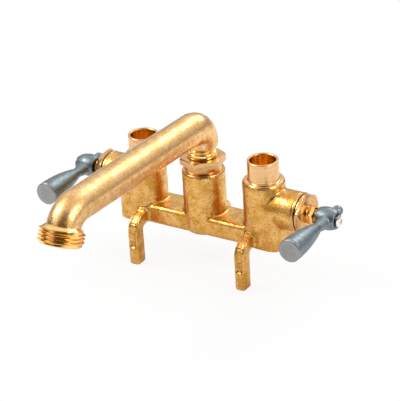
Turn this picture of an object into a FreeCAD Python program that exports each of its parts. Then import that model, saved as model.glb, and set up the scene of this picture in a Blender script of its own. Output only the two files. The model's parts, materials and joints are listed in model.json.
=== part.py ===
"""Clamp-on laundry tray faucet in rough brass with a swing spout.

Frame: X runs along the bar, -Y is the front, +Z is up. The origin lies on the
axis of the middle post, at the underside of the bar. Lengths are millimetres.
"""
import FreeCAD, Part
import math
import os
import Sketcher
from types import SimpleNamespace
from FreeCAD import Placement, Rotation, Vector

DRIVING_SIZES = {
    "casting": {
        "inlet_spacing": 85.72,
        "bar_depth": 23.4,
        "bar_height": 12.8,
        "bar_rounding": 3.2,
        "post_diameter": 26.2,
        "post_base_rounding": 2.0,
        "shoulder_height": 42.4,
        "shoulder_bevel": 1.1,
        "socket_outside": 19.3,
        "socket_top": 55.2,
        "socket_bore": 15.94,
        "socket_depth": 12.7,
        "socket_lip": 0.5,
        "inlet_waterway": 10.0,
        "inlet_waterway_offset": 3.2,
        "middle_post_diameter": 26.7,
        "middle_post_height": 40.6,
        "middle_post_base_rounding": 3.0,
        "middle_post_chamfer": 0.7,
        "bar_waterway": 8.4,
        "bar_waterway_height": 6.4,
        "drop_waterway": 8.0,
        "drop_waterway_offset": 7.3,
    },
    "valve chambers": {
        "valve_height": 25.0,
        "chamber_outside": 24.8,
        "chamber_reach": 26.4,
        "chamber_chamfer": 1.2,
        "chamber_bore": 17.0,
        "chamber_floor": 1.8,
        "foot_block_reach": 14.6,
        "foot_block_depth": 24.4,
        "foot_block_rounding": 5.0,
        "bonnet_thread": 18.6,
        "bonnet_thread_depth": 9.6,
        "thread_clearance": 0.05,
    },
    "legs": {
        "leg_spacing": 77.0,
        "leg_width": 7.0,
        "leg_thickness": 9.0,
        "leg_edge_rounding": 1.8,
        "leg_reach": 22.2,
        "leg_slope": 9.0,
        "leg_knee_height": 4.4,
        "leg_bend": 7.0,
        "leg_drop": 22.8,
        "leg_tip_rounding": 1.2,
        "leg_recess_width": 4.0,
        "leg_recess_depth": 0.8,
        "leg_recess_top": 3.0,
        "leg_recess_end": 11.1,
        "rear_leg_width": 16.0,
        "rear_leg_thickness": 7.6,
        "rear_leg_reach": 14.7,
        "rear_leg_knee_height": 10.8,
        "rear_leg_bend": 5.0,
        "rear_leg_drop": 12.6,
        "clamp_screw_thread": 6.4,
        "clamp_screw_height": 8.0,
        "clamp_screw_length": 20.0,
        "clamp_screw_tip": 9.4,
        "clamp_screw_head": 7.4,
        "clamp_screw_head_length": 5.0,
        "clamp_screw_chamfer": 1.2,
    },
    "spout": {
        "spout_swing": 2.1,
        "spout_reach": 135.5,
        "spout_outside": 20.0,
        "spout_bore": 14.4,
        "elbow_bend": 10.8,
        "elbow_rise": 13.9,
        "elbow_taper": 2.5,
        "neck_height": 7.1,
        "outlet_tilt": 22.5,
        "outlet_bend": 17.0,
        "outlet_length": 18.8,
        "outlet_bore": 18.6,
        "hose_thread": 26.98,
        "hose_thread_length": 8.6,
        "hose_thread_chamfer": 0.6,
        "outlet_shoulder": 1.6,
        "outlet_step": 0.6,
        "neck_diameter": 15.8,
        "collar_diameter": 18.4,
        "collar_height": 1.4,
        "collar_gap": 0.2,
        "tail_diameter": 15.9,
        "tail_bore": 8.8,
        "tail_step_drop": 12.0,
        "tail_step_gap": 0.4,
        "tail_end_diameter": 14.6,
        "tail_end_length": 11.0,
        "tail_clearance": 0.05,
        "ring_groove_depth": 1.1,
        "ring_width": 1.6,
        "ring_thickness": 2.2,
        "thrust_washer_thickness": 1.0,
        "thrust_washer_width": 1.8,
        "face_clearance": 0.05,
        "o_ring_section": 1.8,
        "o_ring_drop": 5.0,
    },
    "spout nut": {
        "spout_nut_flats": 24.8,
        "spout_nut_height": 8.8,
        "spout_nut_hexagon_height": 4.8,
        "spout_nut_collar": 23.2,
        "spout_nut_bevel": 1.5,
        "spout_nut_thread": 20.4,
        "spout_nut_thread_length": 7.4,
        "spout_nut_clock": 40.0,
    },
    "bonnets": {
        "gasket_thickness": 0.8,
        "gasket_inner": 18.8,
        "gasket_outer": 22.4,
        "bonnet_flats": 22.8,
        "bonnet_flange": 3.8,
        "bonnet_rim": 1.2,
        "bonnet_rim_diameter": 24.2,
        "bonnet_bevel": 1.9,
        "right_bonnet_clock": 38.0,
        "left_bonnet_clock": 52.0,
        "bonnet_shank": 9.0,
        "bonnet_wall_inner": 2.6,
        "bonnet_wall_outer": 1.5,
        "stem_thread": 10.9,
        "spindle_diameter": 7.7,
        "running_clearance": 0.05,
        "packing_cavity": 10.3,
        "packing_length": 3.0,
        "packing_nut_flats": 10.6,
        "packing_nut_head": 4.2,
        "packing_nut_bevel": 0.7,
        "packing_nut_standoff": 0.6,
    },
    "seats and stems": {
        "seat_outside": 12.6,
        "seat_bore": 8.2,
        "seat_thickness": 3.2,
        "seat_lip_height": 0.8,
        "seat_lip_width": 1.1,
        "outlet_passage": 9.0,
        "outlet_passage_length": 2.8,
        "seat_gap": 0.1,
        "washer_outside": 12.0,
        "washer_thickness": 3.0,
        "washer_bore": 3.6,
        "washer_play": 0.03,
        "washer_screw_head": 6.4,
        "washer_screw_head_height": 1.6,
        "washer_screw_shank": 3.4,
        "washer_screw_length": 8.0,
        "stem_disc_diameter": 12.8,
        "stem_disc_thickness": 2.8,
        "stem_thread_gap": 2.0,
        "broach_size": 5.2,
        "broach_clearance": 0.1,
    },
    "handles": {
        "hub_inner_diameter": 11.8,
        "hub_outer_diameter": 10.6,
        "hub_crown": 14.6,
        "hub_length": 12.8,
        "hub_standoff": 11.1,
        "hub_recess_diameter": 10.0,
        "hub_recess_depth": 2.4,
        "hub_wall": 2.2,
        "lever_reach": 46.8,
        "lever_end_diameter": 14.4,
        "lever_end_bevel": 0.7,
        "lever_neck_diameter": 6.2,
        "lever_neck_reach": 13.6,
        "lever_root_diameter": 9.6,
        "lever_root_reach": 3.6,
        "lever_crown": 112.0,
        "tail_stub_reach": 11.4,
        "tail_stub_neck": 4.8,
        "tail_stub_ball": 6.8,
        "handle_screw_head": 9.0,
        "handle_screw_head_height": 2.5,
        "handle_screw_rim": 1.0,
        "handle_screw_shank": 4.0,
        "handle_screw_length": 10.0,
        "screw_hole_clearance": 0.2,
    },
}

FULL_TURN = 360
HEXAGON_SIDES = 6
TOUCH = 0.001
SIDES = {"right": 0, "left": 180}


class Size:
    """A number and the sheet expression that gives it."""

    def __init__(self, value, text):
        self.value = value
        self.text = text

    def combine(self, other, sign, value):
        return Size(value, f"({self.text} {sign} {as_size(other).text})")

    def __add__(self, other):
        return self.combine(other, "+", self.value + as_size(other).value)

    def __sub__(self, other):
        return self.combine(other, "-", self.value - as_size(other).value)

    def __mul__(self, other):
        return self.combine(other, "*", self.value * as_size(other).value)

    def __truediv__(self, other):
        return self.combine(other, "/", self.value / as_size(other).value)

    def __neg__(self):
        return Size(-self.value, f"(0 - {self.text})")

    def sin(self):
        return Size(math.sin(math.radians(self.value)), f"sin({self.text})")

    def cos(self):
        return Size(math.cos(math.radians(self.value)), f"cos({self.text})")

    def sqrt(self):
        return Size(math.sqrt(self.value), f"sqrt({self.text})")

    def tan(self):
        return Size(math.tan(math.radians(self.value)), f"tan({self.text})")


def as_size(number):
    """The Size of a plain number, or the Size itself."""
    if isinstance(number, Size):
        return number
    return Size(float(number), repr(float(number)))


def make_sheet(doc):
    """Spreadsheet of the driving dimensions, and a Size for each alias."""
    sheet = doc.addObject("Spreadsheet::Sheet", "Sizes")
    sizes = {}
    row = 1
    for group, entries in DRIVING_SIZES.items():
        sheet.set(f"A{row}", group)
        row += 1
        for alias, value in entries.items():
            sheet.set(f"A{row}", alias.replace("_", " "))
            sheet.set(f"B{row}", str(value))
            sheet.setAlias(f"B{row}", alias)
            sizes[alias] = Size(value, f"Sizes.{alias}")
            row += 1
    doc.recompute()
    return SimpleNamespace(**sizes)


def bind(thing, prop, size):
    """Tie a property to the sheet."""
    thing.setExpression(prop, as_size(size).text)


def origin_feature(body, role):
    """One of the body's own origin planes or axes."""
    for feature in body.Origin.OriginFeatures:
        if feature.Role == role:
            return feature
    raise ValueError(role)


def add_body(doc, label, x=0, z=0, turn=0, axis=Vector(0, 1, 0)):
    """New body with its label, moved along X and Z and turned about an axis."""
    body = doc.addObject("PartDesign::Body", label)
    body.Label = label
    x = as_size(x)
    z = as_size(z)
    turn = as_size(turn)
    place = Vector(x.value, 0, z.value)
    body.Placement = Placement(place, Rotation(axis, turn.value))
    bind(body, "Placement.Base.x", x)
    bind(body, "Placement.Base.z", z)
    bind(body, "Placement.Rotation.Angle", turn)
    return body


def add_sketch(body, name, plane, offset=0):
    """Sketch on an origin plane of the body, moved along the plane's normal."""
    sketch = body.newObject("Sketcher::SketchObject", name)
    sketch.AttachmentSupport = [(origin_feature(body, plane), "")]
    sketch.MapMode = "FlatFace"
    offset = as_size(offset)
    sketch.AttachmentOffset = Placement(Vector(0, 0, offset.value), Rotation())
    bind(sketch, "AttachmentOffset.Base.z", offset)
    return sketch


def pin_point(sketch, edge, end, x, y):
    """Fix one end of an edge at sheet coordinates."""
    for kind, size, axis in (("DistanceX", x, -2), ("DistanceY", y, -1)):
        if size.value == 0 and "Sizes" not in size.text:
            sketch.addConstraint(Sketcher.Constraint("PointOnObject", edge, end, axis))
            continue
        rule = Sketcher.Constraint(kind, -1, 1, edge, end, size.value)
        index = sketch.addConstraint(rule)
        bind(sketch, f"Constraints[{index}]", size)


def arc_edge(start, finish, radius):
    """Arc of a signed radius, positive when it runs anticlockwise."""
    chord = finish - start
    size = abs(radius)
    rise = math.sqrt(max(size ** 2 - chord.Length ** 2 / 4, 0))
    side = Vector(-chord.y, chord.x, 0).normalize() * math.copysign(rise, radius)
    centre = (start + finish) / 2 + side
    first, last = (start, finish) if radius > 0 else (finish, start)
    low = math.atan2(first.y - centre.y, first.x - centre.x)
    high = math.atan2(last.y - centre.y, last.x - centre.x)
    if high <= low:
        high += 2 * math.pi
    return Part.ArcOfCircle(Part.Circle(centre, Vector(0, 0, 1), size), low, high)


def draw(sketch, steps, closed=True):
    """Outline through points (x, y), or (x, y, radius) where an arc leads there."""
    points = [(as_size(step[0]), as_size(step[1])) for step in steps]
    count = len(steps) if closed else len(steps) - 1
    ends = []
    for number in range(count):
        target = (number + 1) % len(steps)
        start = Vector(points[number][0].value, points[number][1].value, 0)
        finish = Vector(points[target][0].value, points[target][1].value, 0)
        if len(steps[target]) == 3:
            radius = as_size(steps[target][2])
            edge = sketch.addGeometry(arc_edge(start, finish, radius.value), False)
            rule = Sketcher.Constraint("Radius", edge, abs(radius.value))
            index = sketch.addConstraint(rule)
            bind(sketch, f"Constraints[{index}]", radius if radius.value > 0 else -radius)
            ends.append((edge, 1, 2) if radius.value > 0 else (edge, 2, 1))
        else:
            edge = sketch.addGeometry(Part.LineSegment(start, finish), False)
            ends.append((edge, 1, 2))
    for number, (edge, first, last) in enumerate(ends):
        pin_point(sketch, edge, first, *points[number])
        if number + 1 < len(ends) or closed:
            following = ends[(number + 1) % len(ends)]
            join = Sketcher.Constraint("Coincident", edge, last, following[0], following[1])
            sketch.addConstraint(join)
        else:
            pin_point(sketch, edge, last, *points[number + 1])


def draw_circle(sketch, diameter, x=0, y=0):
    """Circle with its centre and radius from the sheet."""
    x = as_size(x)
    y = as_size(y)
    radius = as_size(diameter) / 2
    centre = Vector(x.value, y.value, 0)
    edge = sketch.addGeometry(Part.Circle(centre, Vector(0, 0, 1), radius.value), False)
    pin_point(sketch, edge, 3, x, y)
    index = sketch.addConstraint(Sketcher.Constraint("Radius", edge, radius.value))
    bind(sketch, f"Constraints[{index}]", radius)


def draw_axis(sketch, start, finish):
    """Construction line that a profile is turned about."""
    points = [(as_size(x), as_size(y)) for x, y in (start, finish)]
    ends = [Vector(x.value, y.value, 0) for x, y in points]
    edge = sketch.addGeometry(Part.LineSegment(*ends), True)
    pin_point(sketch, edge, 1, *points[0])
    pin_point(sketch, edge, 2, *points[1])


def draw_hexagon(sketch, flats, clock):
    """Regular hexagon about the origin, turned by the clock angle."""
    corner = flats / math.sqrt(3)
    steps = []
    for number in range(HEXAGON_SIDES):
        angle = clock + FULL_TURN / HEXAGON_SIDES * number
        steps.append((corner * angle.cos(), corner * angle.sin()))
    draw(sketch, steps)


def draw_rounded_rectangle(sketch, x, y, width, height, rounding):
    """Rectangle about (x, y) with equal corner arcs."""
    left = x - width / 2
    right = x + width / 2
    low = y - height / 2
    high = y + height / 2
    draw(sketch, [
        (left + rounding, low, rounding),
        (right - rounding, low),
        (right, low + rounding, rounding),
        (right, high - rounding),
        (right - rounding, high, rounding),
        (left + rounding, high),
        (left, high - rounding, rounding),
        (left, low + rounding),
    ])


def add_feature(body, kind, name, profile):
    """PartDesign feature of a body, made from a sketch."""
    feature = body.newObject(f"PartDesign::{kind}", name)
    feature.Profile = profile
    profile.Visibility = False
    return feature


def pad(body, name, sketch, length, symmetric=False, kind="Pad", reverse=False):
    """Pad or pocket of a sketch by a length."""
    feature = add_feature(body, kind, name, sketch)
    feature.SideType = "Symmetric" if symmetric else "One side"
    feature.Reversed = reverse
    feature.Length = as_size(length).value
    bind(feature, "Length", length)
    return feature


def pocket(body, name, sketch, length, symmetric=False, reverse=False):
    """Pocket of a sketch by a length, against the sketch's normal."""
    return pad(body, name, sketch, length, symmetric, "Pocket", reverse)


def turn_profile(body, name, sketch, axis="H_Axis", kind="Revolution"):
    """Revolution of a profile about an axis of its sketch."""
    feature = add_feature(body, kind, name, sketch)
    feature.ReferenceAxis = (sketch, [axis])
    feature.Angle = FULL_TURN
    return feature


def bore_profile(body, name, sketch, axis="H_Axis"):
    """Turned cut of a profile about an axis of its sketch."""
    return turn_profile(body, name, sketch, axis, "Groove")


def sweep(body, name, section, spine, kind="AdditivePipe"):
    """Section swept along every edge of a spine sketch."""
    feature = add_feature(body, kind, name, section)
    edges = [f"Edge{number + 1}" for number in range(spine.GeometryCount)]
    feature.Spine = (spine, edges)
    spine.Visibility = False
    return feature


def mirror_sides(body, name, features):
    """Copy of the right side's features on the left side."""
    feature = body.newObject("PartDesign::Mirrored", name)
    feature.Originals = features
    feature.MirrorPlane = (origin_feature(body, "YZ_Plane"), [""])
    body.Tip = feature
    return feature


def edge_names(shape, wanted):
    """Names of the edges for which the test holds."""
    names = []
    for number, edge in enumerate(shape.Edges):
        if wanted(edge):
            names.append(f"Edge{number + 1}")
    return names


def edge_points(edge):
    """A few points along an edge."""
    first, last = edge.ParameterRange
    return [edge.valueAt(first + (last - first) * share / 4) for share in range(5)]


def flat_at(edge, height):
    """Whether an edge lies level at a height."""
    return all(abs(point.z - height.value) < TOUCH for point in edge_points(edge))


def round_edges(body, name, base, radius, wanted):
    """Fillet on the base feature's edges for which the test holds."""
    body.Document.recompute()
    feature = body.newObject("PartDesign::Fillet", name)
    feature.Base = (base, edge_names(base.Shape, wanted))
    feature.Radius = as_size(radius).value
    bind(feature, "Radius", radius)
    return feature


def inlet_x(s):
    """Distance of an inlet axis from the middle post."""
    return s.inlet_spacing / 2


def chamber_end(s):
    """Outer end face of a valve chamber along X."""
    return inlet_x(s) + s.chamber_reach


def tail_step(s):
    """Height of the step between the spout's tail and its thinner end."""
    return s.middle_post_height - s.tail_step_drop


def seat_face(s):
    """Outer face of the valve seat's ring along X."""
    return inlet_x(s) - s.chamber_floor


def washer_start(s):
    """Face of the seat washer on the seat's side, along X."""
    return seat_face(s) + s.seat_lip_height + s.seat_gap


def bonnet_face(s):
    """Outer face of the bonnet's flange along X."""
    return chamber_end(s) + s.gasket_thickness + s.bonnet_flange


def elbow_foot(s):
    """Height where the neck of the spout has widened to the elbow."""
    return s.middle_post_height + s.spout_nut_height + s.neck_height


def spout_height(s):
    """Height of the arm's axis."""
    return elbow_foot(s) + s.elbow_rise


def hub_start(s):
    """Inner face of the handle's hub along X."""
    return chamber_end(s) + s.hub_standoff


def make_bar(body, s):
    """Rounded bar between the inlets."""
    sketch = add_sketch(body, "BarSection", "YZ_Plane")
    middle = s.bar_height / 2
    draw_rounded_rectangle(sketch, s.bar_depth * 0, middle, s.bar_depth, s.bar_height, s.bar_rounding)
    return pad(body, "Bar", sketch, s.inlet_spacing, symmetric=True)


def make_middle_post(body, s):
    """Turned blank of the middle post."""
    radius = s.middle_post_diameter / 2
    base = s.middle_post_base_rounding
    top = s.middle_post_height
    cut = s.middle_post_chamfer
    sketch = add_sketch(body, "MiddlePostProfile", "XZ_Plane")
    draw(sketch, [
        (0, 0),
        (radius - base, 0),
        (radius, base, base),
        (radius, top - cut),
        (radius - cut, top),
        (0, top),
    ])
    return turn_profile(body, "MiddlePost", sketch, "V_Axis")


def make_inlet_post(body, s):
    """Inlet post with its machined shoulder and the socket above it."""
    centre = inlet_x(s)
    radius = s.post_diameter / 2
    base = s.post_base_rounding
    shoulder = s.shoulder_height
    sketch = add_sketch(body, "InletPostProfile", "XZ_Plane")
    draw_axis(sketch, (centre, 0), (centre, s.socket_top))
    draw(sketch, [
        (centre, 0),
        (centre + radius - base, 0),
        (centre + radius, base, base),
        (centre + radius, shoulder - s.shoulder_bevel),
        (centre + radius - s.shoulder_bevel, shoulder),
        (centre + s.socket_outside / 2, shoulder),
        (centre + s.socket_outside / 2, s.socket_top),
        (centre, s.socket_top),
    ])
    return turn_profile(body, "InletPost", sketch, "Axis0")


def make_chamber(body, s):
    """Round valve chamber that points outwards from the inlet post."""
    end = chamber_end(s)
    radius = s.chamber_outside / 2
    sketch = add_sketch(body, "ChamberProfile", "XZ_Plane")
    draw_axis(sketch, (inlet_x(s), s.valve_height), (end, s.valve_height))
    draw(sketch, [
        (inlet_x(s), s.valve_height),
        (end, s.valve_height),
        (end, s.valve_height + radius - s.chamber_chamfer),
        (end - s.chamber_chamfer, s.valve_height + radius),
        (inlet_x(s), s.valve_height + radius),
    ])
    return turn_profile(body, "Chamber", sketch, "Axis0")


def make_foot_block(body, s):
    """Thick wall under the valve chamber, down to the underside."""
    inner = inlet_x(s)
    outer = inner + s.foot_block_reach
    side = s.foot_block_depth / 2
    curve = s.foot_block_rounding
    sketch = add_sketch(body, "FootBlockOutline", "XY_Plane")
    draw(sketch, [
        (inner, -side),
        (outer - curve, -side),
        (outer, -side + curve, curve),
        (outer, side - curve),
        (outer - curve, side, curve),
        (inner, side),
    ])
    block = pad(body, "FootBlock", sketch, s.valve_height)
    return block


def sweep_leg(body, name, s, x, width, thickness, reach, knee, bend, drop, way):
    """Leg swept up from its tip and over a bend into the bar; way is -1 for the front."""
    slope = s.leg_slope
    tangent = bend * ((-slope + 90) / 2).tan()
    spine = add_sketch(body, f"{name}Spine", "YZ_Plane", x)
    draw(spine, [
        (reach * way, -drop),
        (reach * way, knee - tangent),
        ((reach - tangent * slope.cos()) * way, knee + tangent * slope.sin(), bend * way),
        (0, knee + reach * slope.tan()),
    ], closed=False)
    section = add_sketch(body, f"{name}Section", "XY_Plane", -drop)
    draw_rounded_rectangle(section, as_size(x), reach * way, width, thickness,
                           s.leg_edge_rounding)
    return sweep(body, name, section, spine)


def make_front_leg(body, s):
    """Curved front leg."""
    return sweep_leg(body, "FrontLeg", s, s.leg_spacing / 2, s.leg_width, s.leg_thickness,
                     s.leg_reach, s.leg_knee_height, s.leg_bend, s.leg_drop, -1)


def make_leg_recess(body, s):
    """Sunken panel down the front face of a leg."""
    x = s.leg_spacing / 2
    half = s.leg_recess_width / 2
    face = s.leg_reach + s.leg_thickness / 2
    sketch = add_sketch(body, "LegRecessOutline", "XZ_Plane", face)
    draw(sketch, [
        (x - half, -s.leg_recess_end),
        (x + half, -s.leg_recess_end),
        (x + half, s.leg_recess_top),
        (x - half, s.leg_recess_top),
    ])
    return pocket(body, "LegRecess", sketch, s.leg_recess_depth)


def make_rear_leg(body, s):
    """Wide rear leg in the middle, which carries the clamp screw."""
    return sweep_leg(body, "RearLeg", s, 0, s.rear_leg_width, s.rear_leg_thickness,
                     s.rear_leg_reach, s.rear_leg_knee_height, s.rear_leg_bend,
                     s.rear_leg_drop, 1)


def bore_clamp_thread(body, s):
    """Threaded hole through the rear leg."""
    sketch = add_sketch(body, "ClampHole", "XZ_Plane")
    draw_circle(sketch, s.clamp_screw_thread + s.thread_clearance * 2, 0, -s.clamp_screw_height)
    return pocket(body, "ClampThread", sketch, s.rear_leg_reach * 2)


def bore_socket(body, s):
    """Solder socket for the supply tube, with its stop and a small lip."""
    centre = inlet_x(s)
    radius = s.socket_bore / 2
    sketch = add_sketch(body, "SocketProfile", "XZ_Plane")
    draw_axis(sketch, (centre, 0), (centre, s.socket_top))
    draw(sketch, [
        (centre, s.socket_top - s.socket_depth),
        (centre + radius, s.socket_top - s.socket_depth),
        (centre + radius, s.socket_top - s.socket_lip),
        (centre + radius + s.socket_lip, s.socket_top),
        (centre, s.socket_top),
    ])
    return bore_profile(body, "Socket", sketch, "Axis0")


def bore_inlet_waterway(body, s):
    """Waterway from the socket's stop down into the valve chamber."""
    stop = s.socket_top - s.socket_depth
    sketch = add_sketch(body, "InletWaterwayCircle", "XY_Plane", s.valve_height)
    draw_circle(sketch, s.inlet_waterway, inlet_x(s) + s.inlet_waterway_offset, 0)
    return pocket(body, "InletWaterway", sketch, stop - s.valve_height, reverse=True)


def bore_chamber(body, s):
    """Bonnet thread, chamber, seat thread and the passage behind the seat."""
    end = chamber_end(s)
    axis = s.valve_height
    seat_front = seat_face(s)
    seat_back = seat_front - s.seat_thickness
    passage_end = seat_back - s.outlet_passage_length
    thread = s.bonnet_thread / 2
    sketch = add_sketch(body, "ChamberBoreProfile", "XZ_Plane")
    draw_axis(sketch, (passage_end, axis), (end, axis))
    draw(sketch, [
        (passage_end, axis),
        (end, axis),
        (end, axis + thread),
        (end - s.bonnet_thread_depth, axis + thread),
        (end - s.bonnet_thread_depth, axis + s.chamber_bore / 2),
        (seat_front, axis + s.chamber_bore / 2),
        (seat_front, axis + s.seat_outside / 2),
        (seat_back, axis + s.seat_outside / 2),
        (seat_back, axis + s.outlet_passage / 2),
        (passage_end, axis + s.outlet_passage / 2),
    ])
    return bore_profile(body, "ChamberBore", sketch, "Axis0")


def bore_drop_waterway(body, s):
    """Waterway from the seat down to the bar."""
    sketch = add_sketch(body, "DropWaterwayCircle", "XY_Plane", s.bar_waterway_height)
    draw_circle(sketch, s.drop_waterway, inlet_x(s) - s.drop_waterway_offset, 0)
    length = s.valve_height - s.bar_waterway_height
    return pocket(body, "DropWaterway", sketch, length, reverse=True)


def bore_bar(body, s):
    """Mixing waterway through the bar."""
    sketch = add_sketch(body, "BarWaterwayCircle", "YZ_Plane")
    draw_circle(sketch, s.bar_waterway, 0, s.bar_waterway_height)
    length = (inlet_x(s) - s.drop_waterway_offset) * 2
    return pocket(body, "BarWaterway", sketch, length, symmetric=True)


def bore_middle_post(body, s):
    """Nut thread, spout bore and waterway down the middle post."""
    top = s.middle_post_height
    thread = s.spout_nut_thread / 2 + s.thread_clearance
    tail = s.tail_end_diameter / 2 + s.tail_clearance
    ledge = tail_step(s) - s.tail_step_gap
    sketch = add_sketch(body, "MiddleBoreProfile", "XZ_Plane")
    draw(sketch, [
        (0, s.bar_waterway_height),
        (tail, s.bar_waterway_height),
        (tail, ledge),
        (thread, ledge),
        (thread, top),
        (0, top),
    ])
    return bore_profile(body, "MiddleBore", sketch, "V_Axis")


def make_casting(doc, s):
    """The one casting: bar, posts, valve chambers and legs."""
    body = add_body(doc, "body_casting")
    make_bar(body, s)
    make_middle_post(body, s)
    forms = [
        make_inlet_post(body, s),
        make_chamber(body, s),
        make_foot_block(body, s),
        make_front_leg(body, s),
    ]
    mirror_sides(body, "LeftForms", forms)
    rear = make_rear_leg(body, s)
    round_edges(body, "LegTips", rear, s.leg_tip_rounding,
                lambda edge: flat_at(edge, -s.leg_drop) or flat_at(edge, -s.rear_leg_drop))
    bore_middle_post(body, s)
    bore_bar(body, s)
    bore_clamp_thread(body, s)
    cuts = [
        bore_socket(body, s),
        bore_inlet_waterway(body, s),
        bore_chamber(body, s),
        bore_drop_waterway(body, s),
        make_leg_recess(body, s),
    ]
    mirror_sides(body, "LeftBores", cuts)
    return body


def make_spout_pipe(body, s):
    """Elbow, arm and outlet bend of the spout, swept along one spine."""
    turn = (-s.outlet_tilt + 90) / 2
    tangent = s.outlet_bend * turn.tan()
    height = spout_height(s)
    spine = add_sketch(body, "SpoutSpine", "YZ_Plane")
    draw(spine, [
        (0, elbow_foot(s)),
        (0, height - s.elbow_bend),
        (-s.elbow_bend, height, s.elbow_bend),
        (tangent - s.spout_reach, height),
        (*along_outlet(s, tangent, 0), s.outlet_bend),
        along_outlet(s, s.outlet_length - s.outlet_shoulder, 0),
    ], closed=False)
    section = add_sketch(body, "SpoutSection", "XY_Plane", elbow_foot(s))
    draw_circle(section, s.spout_outside)
    sweep(body, "SpoutPipe", section, spine)
    return spine


def along_outlet(s, distance, radius):
    """Point at a distance down the outlet's axis and a radius off it, as (y, z)."""
    distance = as_size(distance)
    radius = as_size(radius)
    lean = s.outlet_tilt.sin()
    fall = s.outlet_tilt.cos()
    y = -s.spout_reach - distance * lean - radius * fall
    z = spout_height(s) - distance * fall + radius * lean
    return y, z


def make_spout_tail(body, s):
    """Turned neck, collar and tail, with the grooves for the rings."""
    foot = elbow_foot(s)
    collar = s.middle_post_height + s.spout_nut_height + s.collar_gap
    neck = s.neck_diameter / 2
    flare = s.spout_outside / 2
    tail = s.tail_diameter / 2
    end = s.tail_end_diameter / 2
    groove_top = ring_top(s)
    groove_low = groove_top - s.ring_width
    o_ring_top = tail_step(s) - s.o_ring_drop
    o_ring_low = o_ring_top - s.o_ring_section
    bottom = tail_step(s) - s.tail_end_length
    sketch = add_sketch(body, "TailProfile", "XZ_Plane")
    draw(sketch, [
        (0, bottom),
        (end, bottom),
        (end, o_ring_low),
        (end - s.o_ring_section, o_ring_low),
        (end - s.o_ring_section, o_ring_top),
        (end, o_ring_top),
        (end, tail_step(s)),
        (tail, tail_step(s)),
        (tail, groove_low),
        (tail - s.ring_groove_depth, groove_low),
        (tail - s.ring_groove_depth, groove_top),
        (tail, groove_top),
        (tail, collar),
        (s.collar_diameter / 2, collar),
        (s.collar_diameter / 2, collar + s.collar_height),
        (neck, collar + s.collar_height),
        (neck, foot - s.elbow_taper),
        (flare, foot),
        (0, foot),
    ])
    return turn_profile(body, "Tail", sketch, "V_Axis")


def ring_top(s):
    """Upper face of the retaining ring, under the nut and the thrust washer."""
    shank_end = s.middle_post_height - s.spout_nut_thread_length
    return shank_end - s.thrust_washer_thickness - s.face_clearance * 2


def make_outlet(body, s):
    """Boss at the outlet that carries the hose thread."""
    radius = s.hose_thread / 2
    cut = s.hose_thread_chamfer
    start = s.outlet_length - s.hose_thread_length - s.outlet_shoulder
    sketch = add_sketch(body, "OutletProfile", "YZ_Plane")
    draw_axis(sketch, along_outlet(s, 0, 0), along_outlet(s, s.outlet_length, 0))
    draw(sketch, [
        along_outlet(s, start, 0),
        along_outlet(s, start, s.spout_outside / 2 + s.outlet_step),
        along_outlet(s, start + s.outlet_shoulder, radius),
        along_outlet(s, s.outlet_length - cut, radius),
        along_outlet(s, s.outlet_length, radius - cut),
        along_outlet(s, s.outlet_length, 0),
    ])
    return turn_profile(body, "Outlet", sketch, "Axis0")


def bore_spout(body, s, spine):
    """Waterway through the whole spout."""
    section = add_sketch(body, "SpoutBoreSection", "XY_Plane", elbow_foot(s))
    draw_circle(section, s.spout_bore)
    sweep(body, "SpoutBore", section, spine, "SubtractivePipe")
    tail = add_sketch(body, "TailBoreCircle", "XY_Plane", tail_step(s) - s.tail_end_length)
    draw_circle(tail, s.tail_bore)
    length = elbow_foot(s) - tail_step(s) + s.tail_end_length
    pocket(body, "TailBore", tail, length + s.outlet_shoulder, reverse=True)
    mouth = add_sketch(body, "OutletBoreProfile", "YZ_Plane")
    start = s.outlet_length - s.hose_thread_length
    draw_axis(mouth, along_outlet(s, 0, 0), along_outlet(s, s.outlet_length, 0))
    draw(mouth, [
        along_outlet(s, start, 0),
        along_outlet(s, start, s.outlet_bore / 2),
        along_outlet(s, s.outlet_length, s.outlet_bore / 2),
        along_outlet(s, s.outlet_length, 0),
    ])
    bore_profile(body, "OutletBore", mouth, "Axis0")


def make_spout(doc, s):
    """Cast swing spout, turned to the side by its swing at rest."""
    body = add_body(doc, "spout", turn=-s.spout_swing, axis=Vector(0, 0, 1))
    spine = make_spout_pipe(body, s)
    make_spout_tail(body, s)
    make_outlet(body, s)
    bore_spout(body, s, spine)
    return body


def make_ring(doc, label, low, high, inner, outer):
    """Flat ring about the middle post's axis."""
    body = add_body(doc, label)
    sketch = add_sketch(body, "RingProfile", "XZ_Plane")
    draw(sketch, [(inner, low), (outer, low), (outer, high), (inner, high)])
    turn_profile(body, "Ring", sketch, "V_Axis")
    return body


def make_spout_rings(doc, s):
    """Retaining ring, thrust washer and O-ring of the spout."""
    tail = s.tail_diameter / 2
    inner = tail - s.ring_groove_depth
    top = ring_top(s)
    ring = make_ring(doc, "spout_retaining_ring", top - s.ring_width, top,
                     inner, inner + s.ring_thickness)
    washer_low = top + s.face_clearance
    washer_inner = tail + s.tail_clearance
    washer = make_ring(doc, "spout_thrust_washer", washer_low,
                       washer_low + s.thrust_washer_thickness,
                       washer_inner, washer_inner + s.thrust_washer_width)
    body = add_body(doc, "spout_o_ring")
    sketch = add_sketch(body, "ORingSection", "XZ_Plane")
    section = s.o_ring_section
    draw_circle(sketch, section, s.tail_end_diameter / 2 - section / 2,
                tail_step(s) - s.o_ring_drop - section / 2)
    turn_profile(body, "ORing", sketch, "V_Axis")
    return [ring, washer, body]


def cut_hexagon(body, plane, face, flats, clock, length, reverse=False):
    """Cut six flats on a turned blank, from a face back along its axis."""
    sketch = add_sketch(body, "Flats", plane, face)
    draw_circle(sketch, flats * 2)
    draw_hexagon(sketch, flats, clock)
    return pocket(body, "FlatsCut", sketch, length, reverse=reverse)


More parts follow.
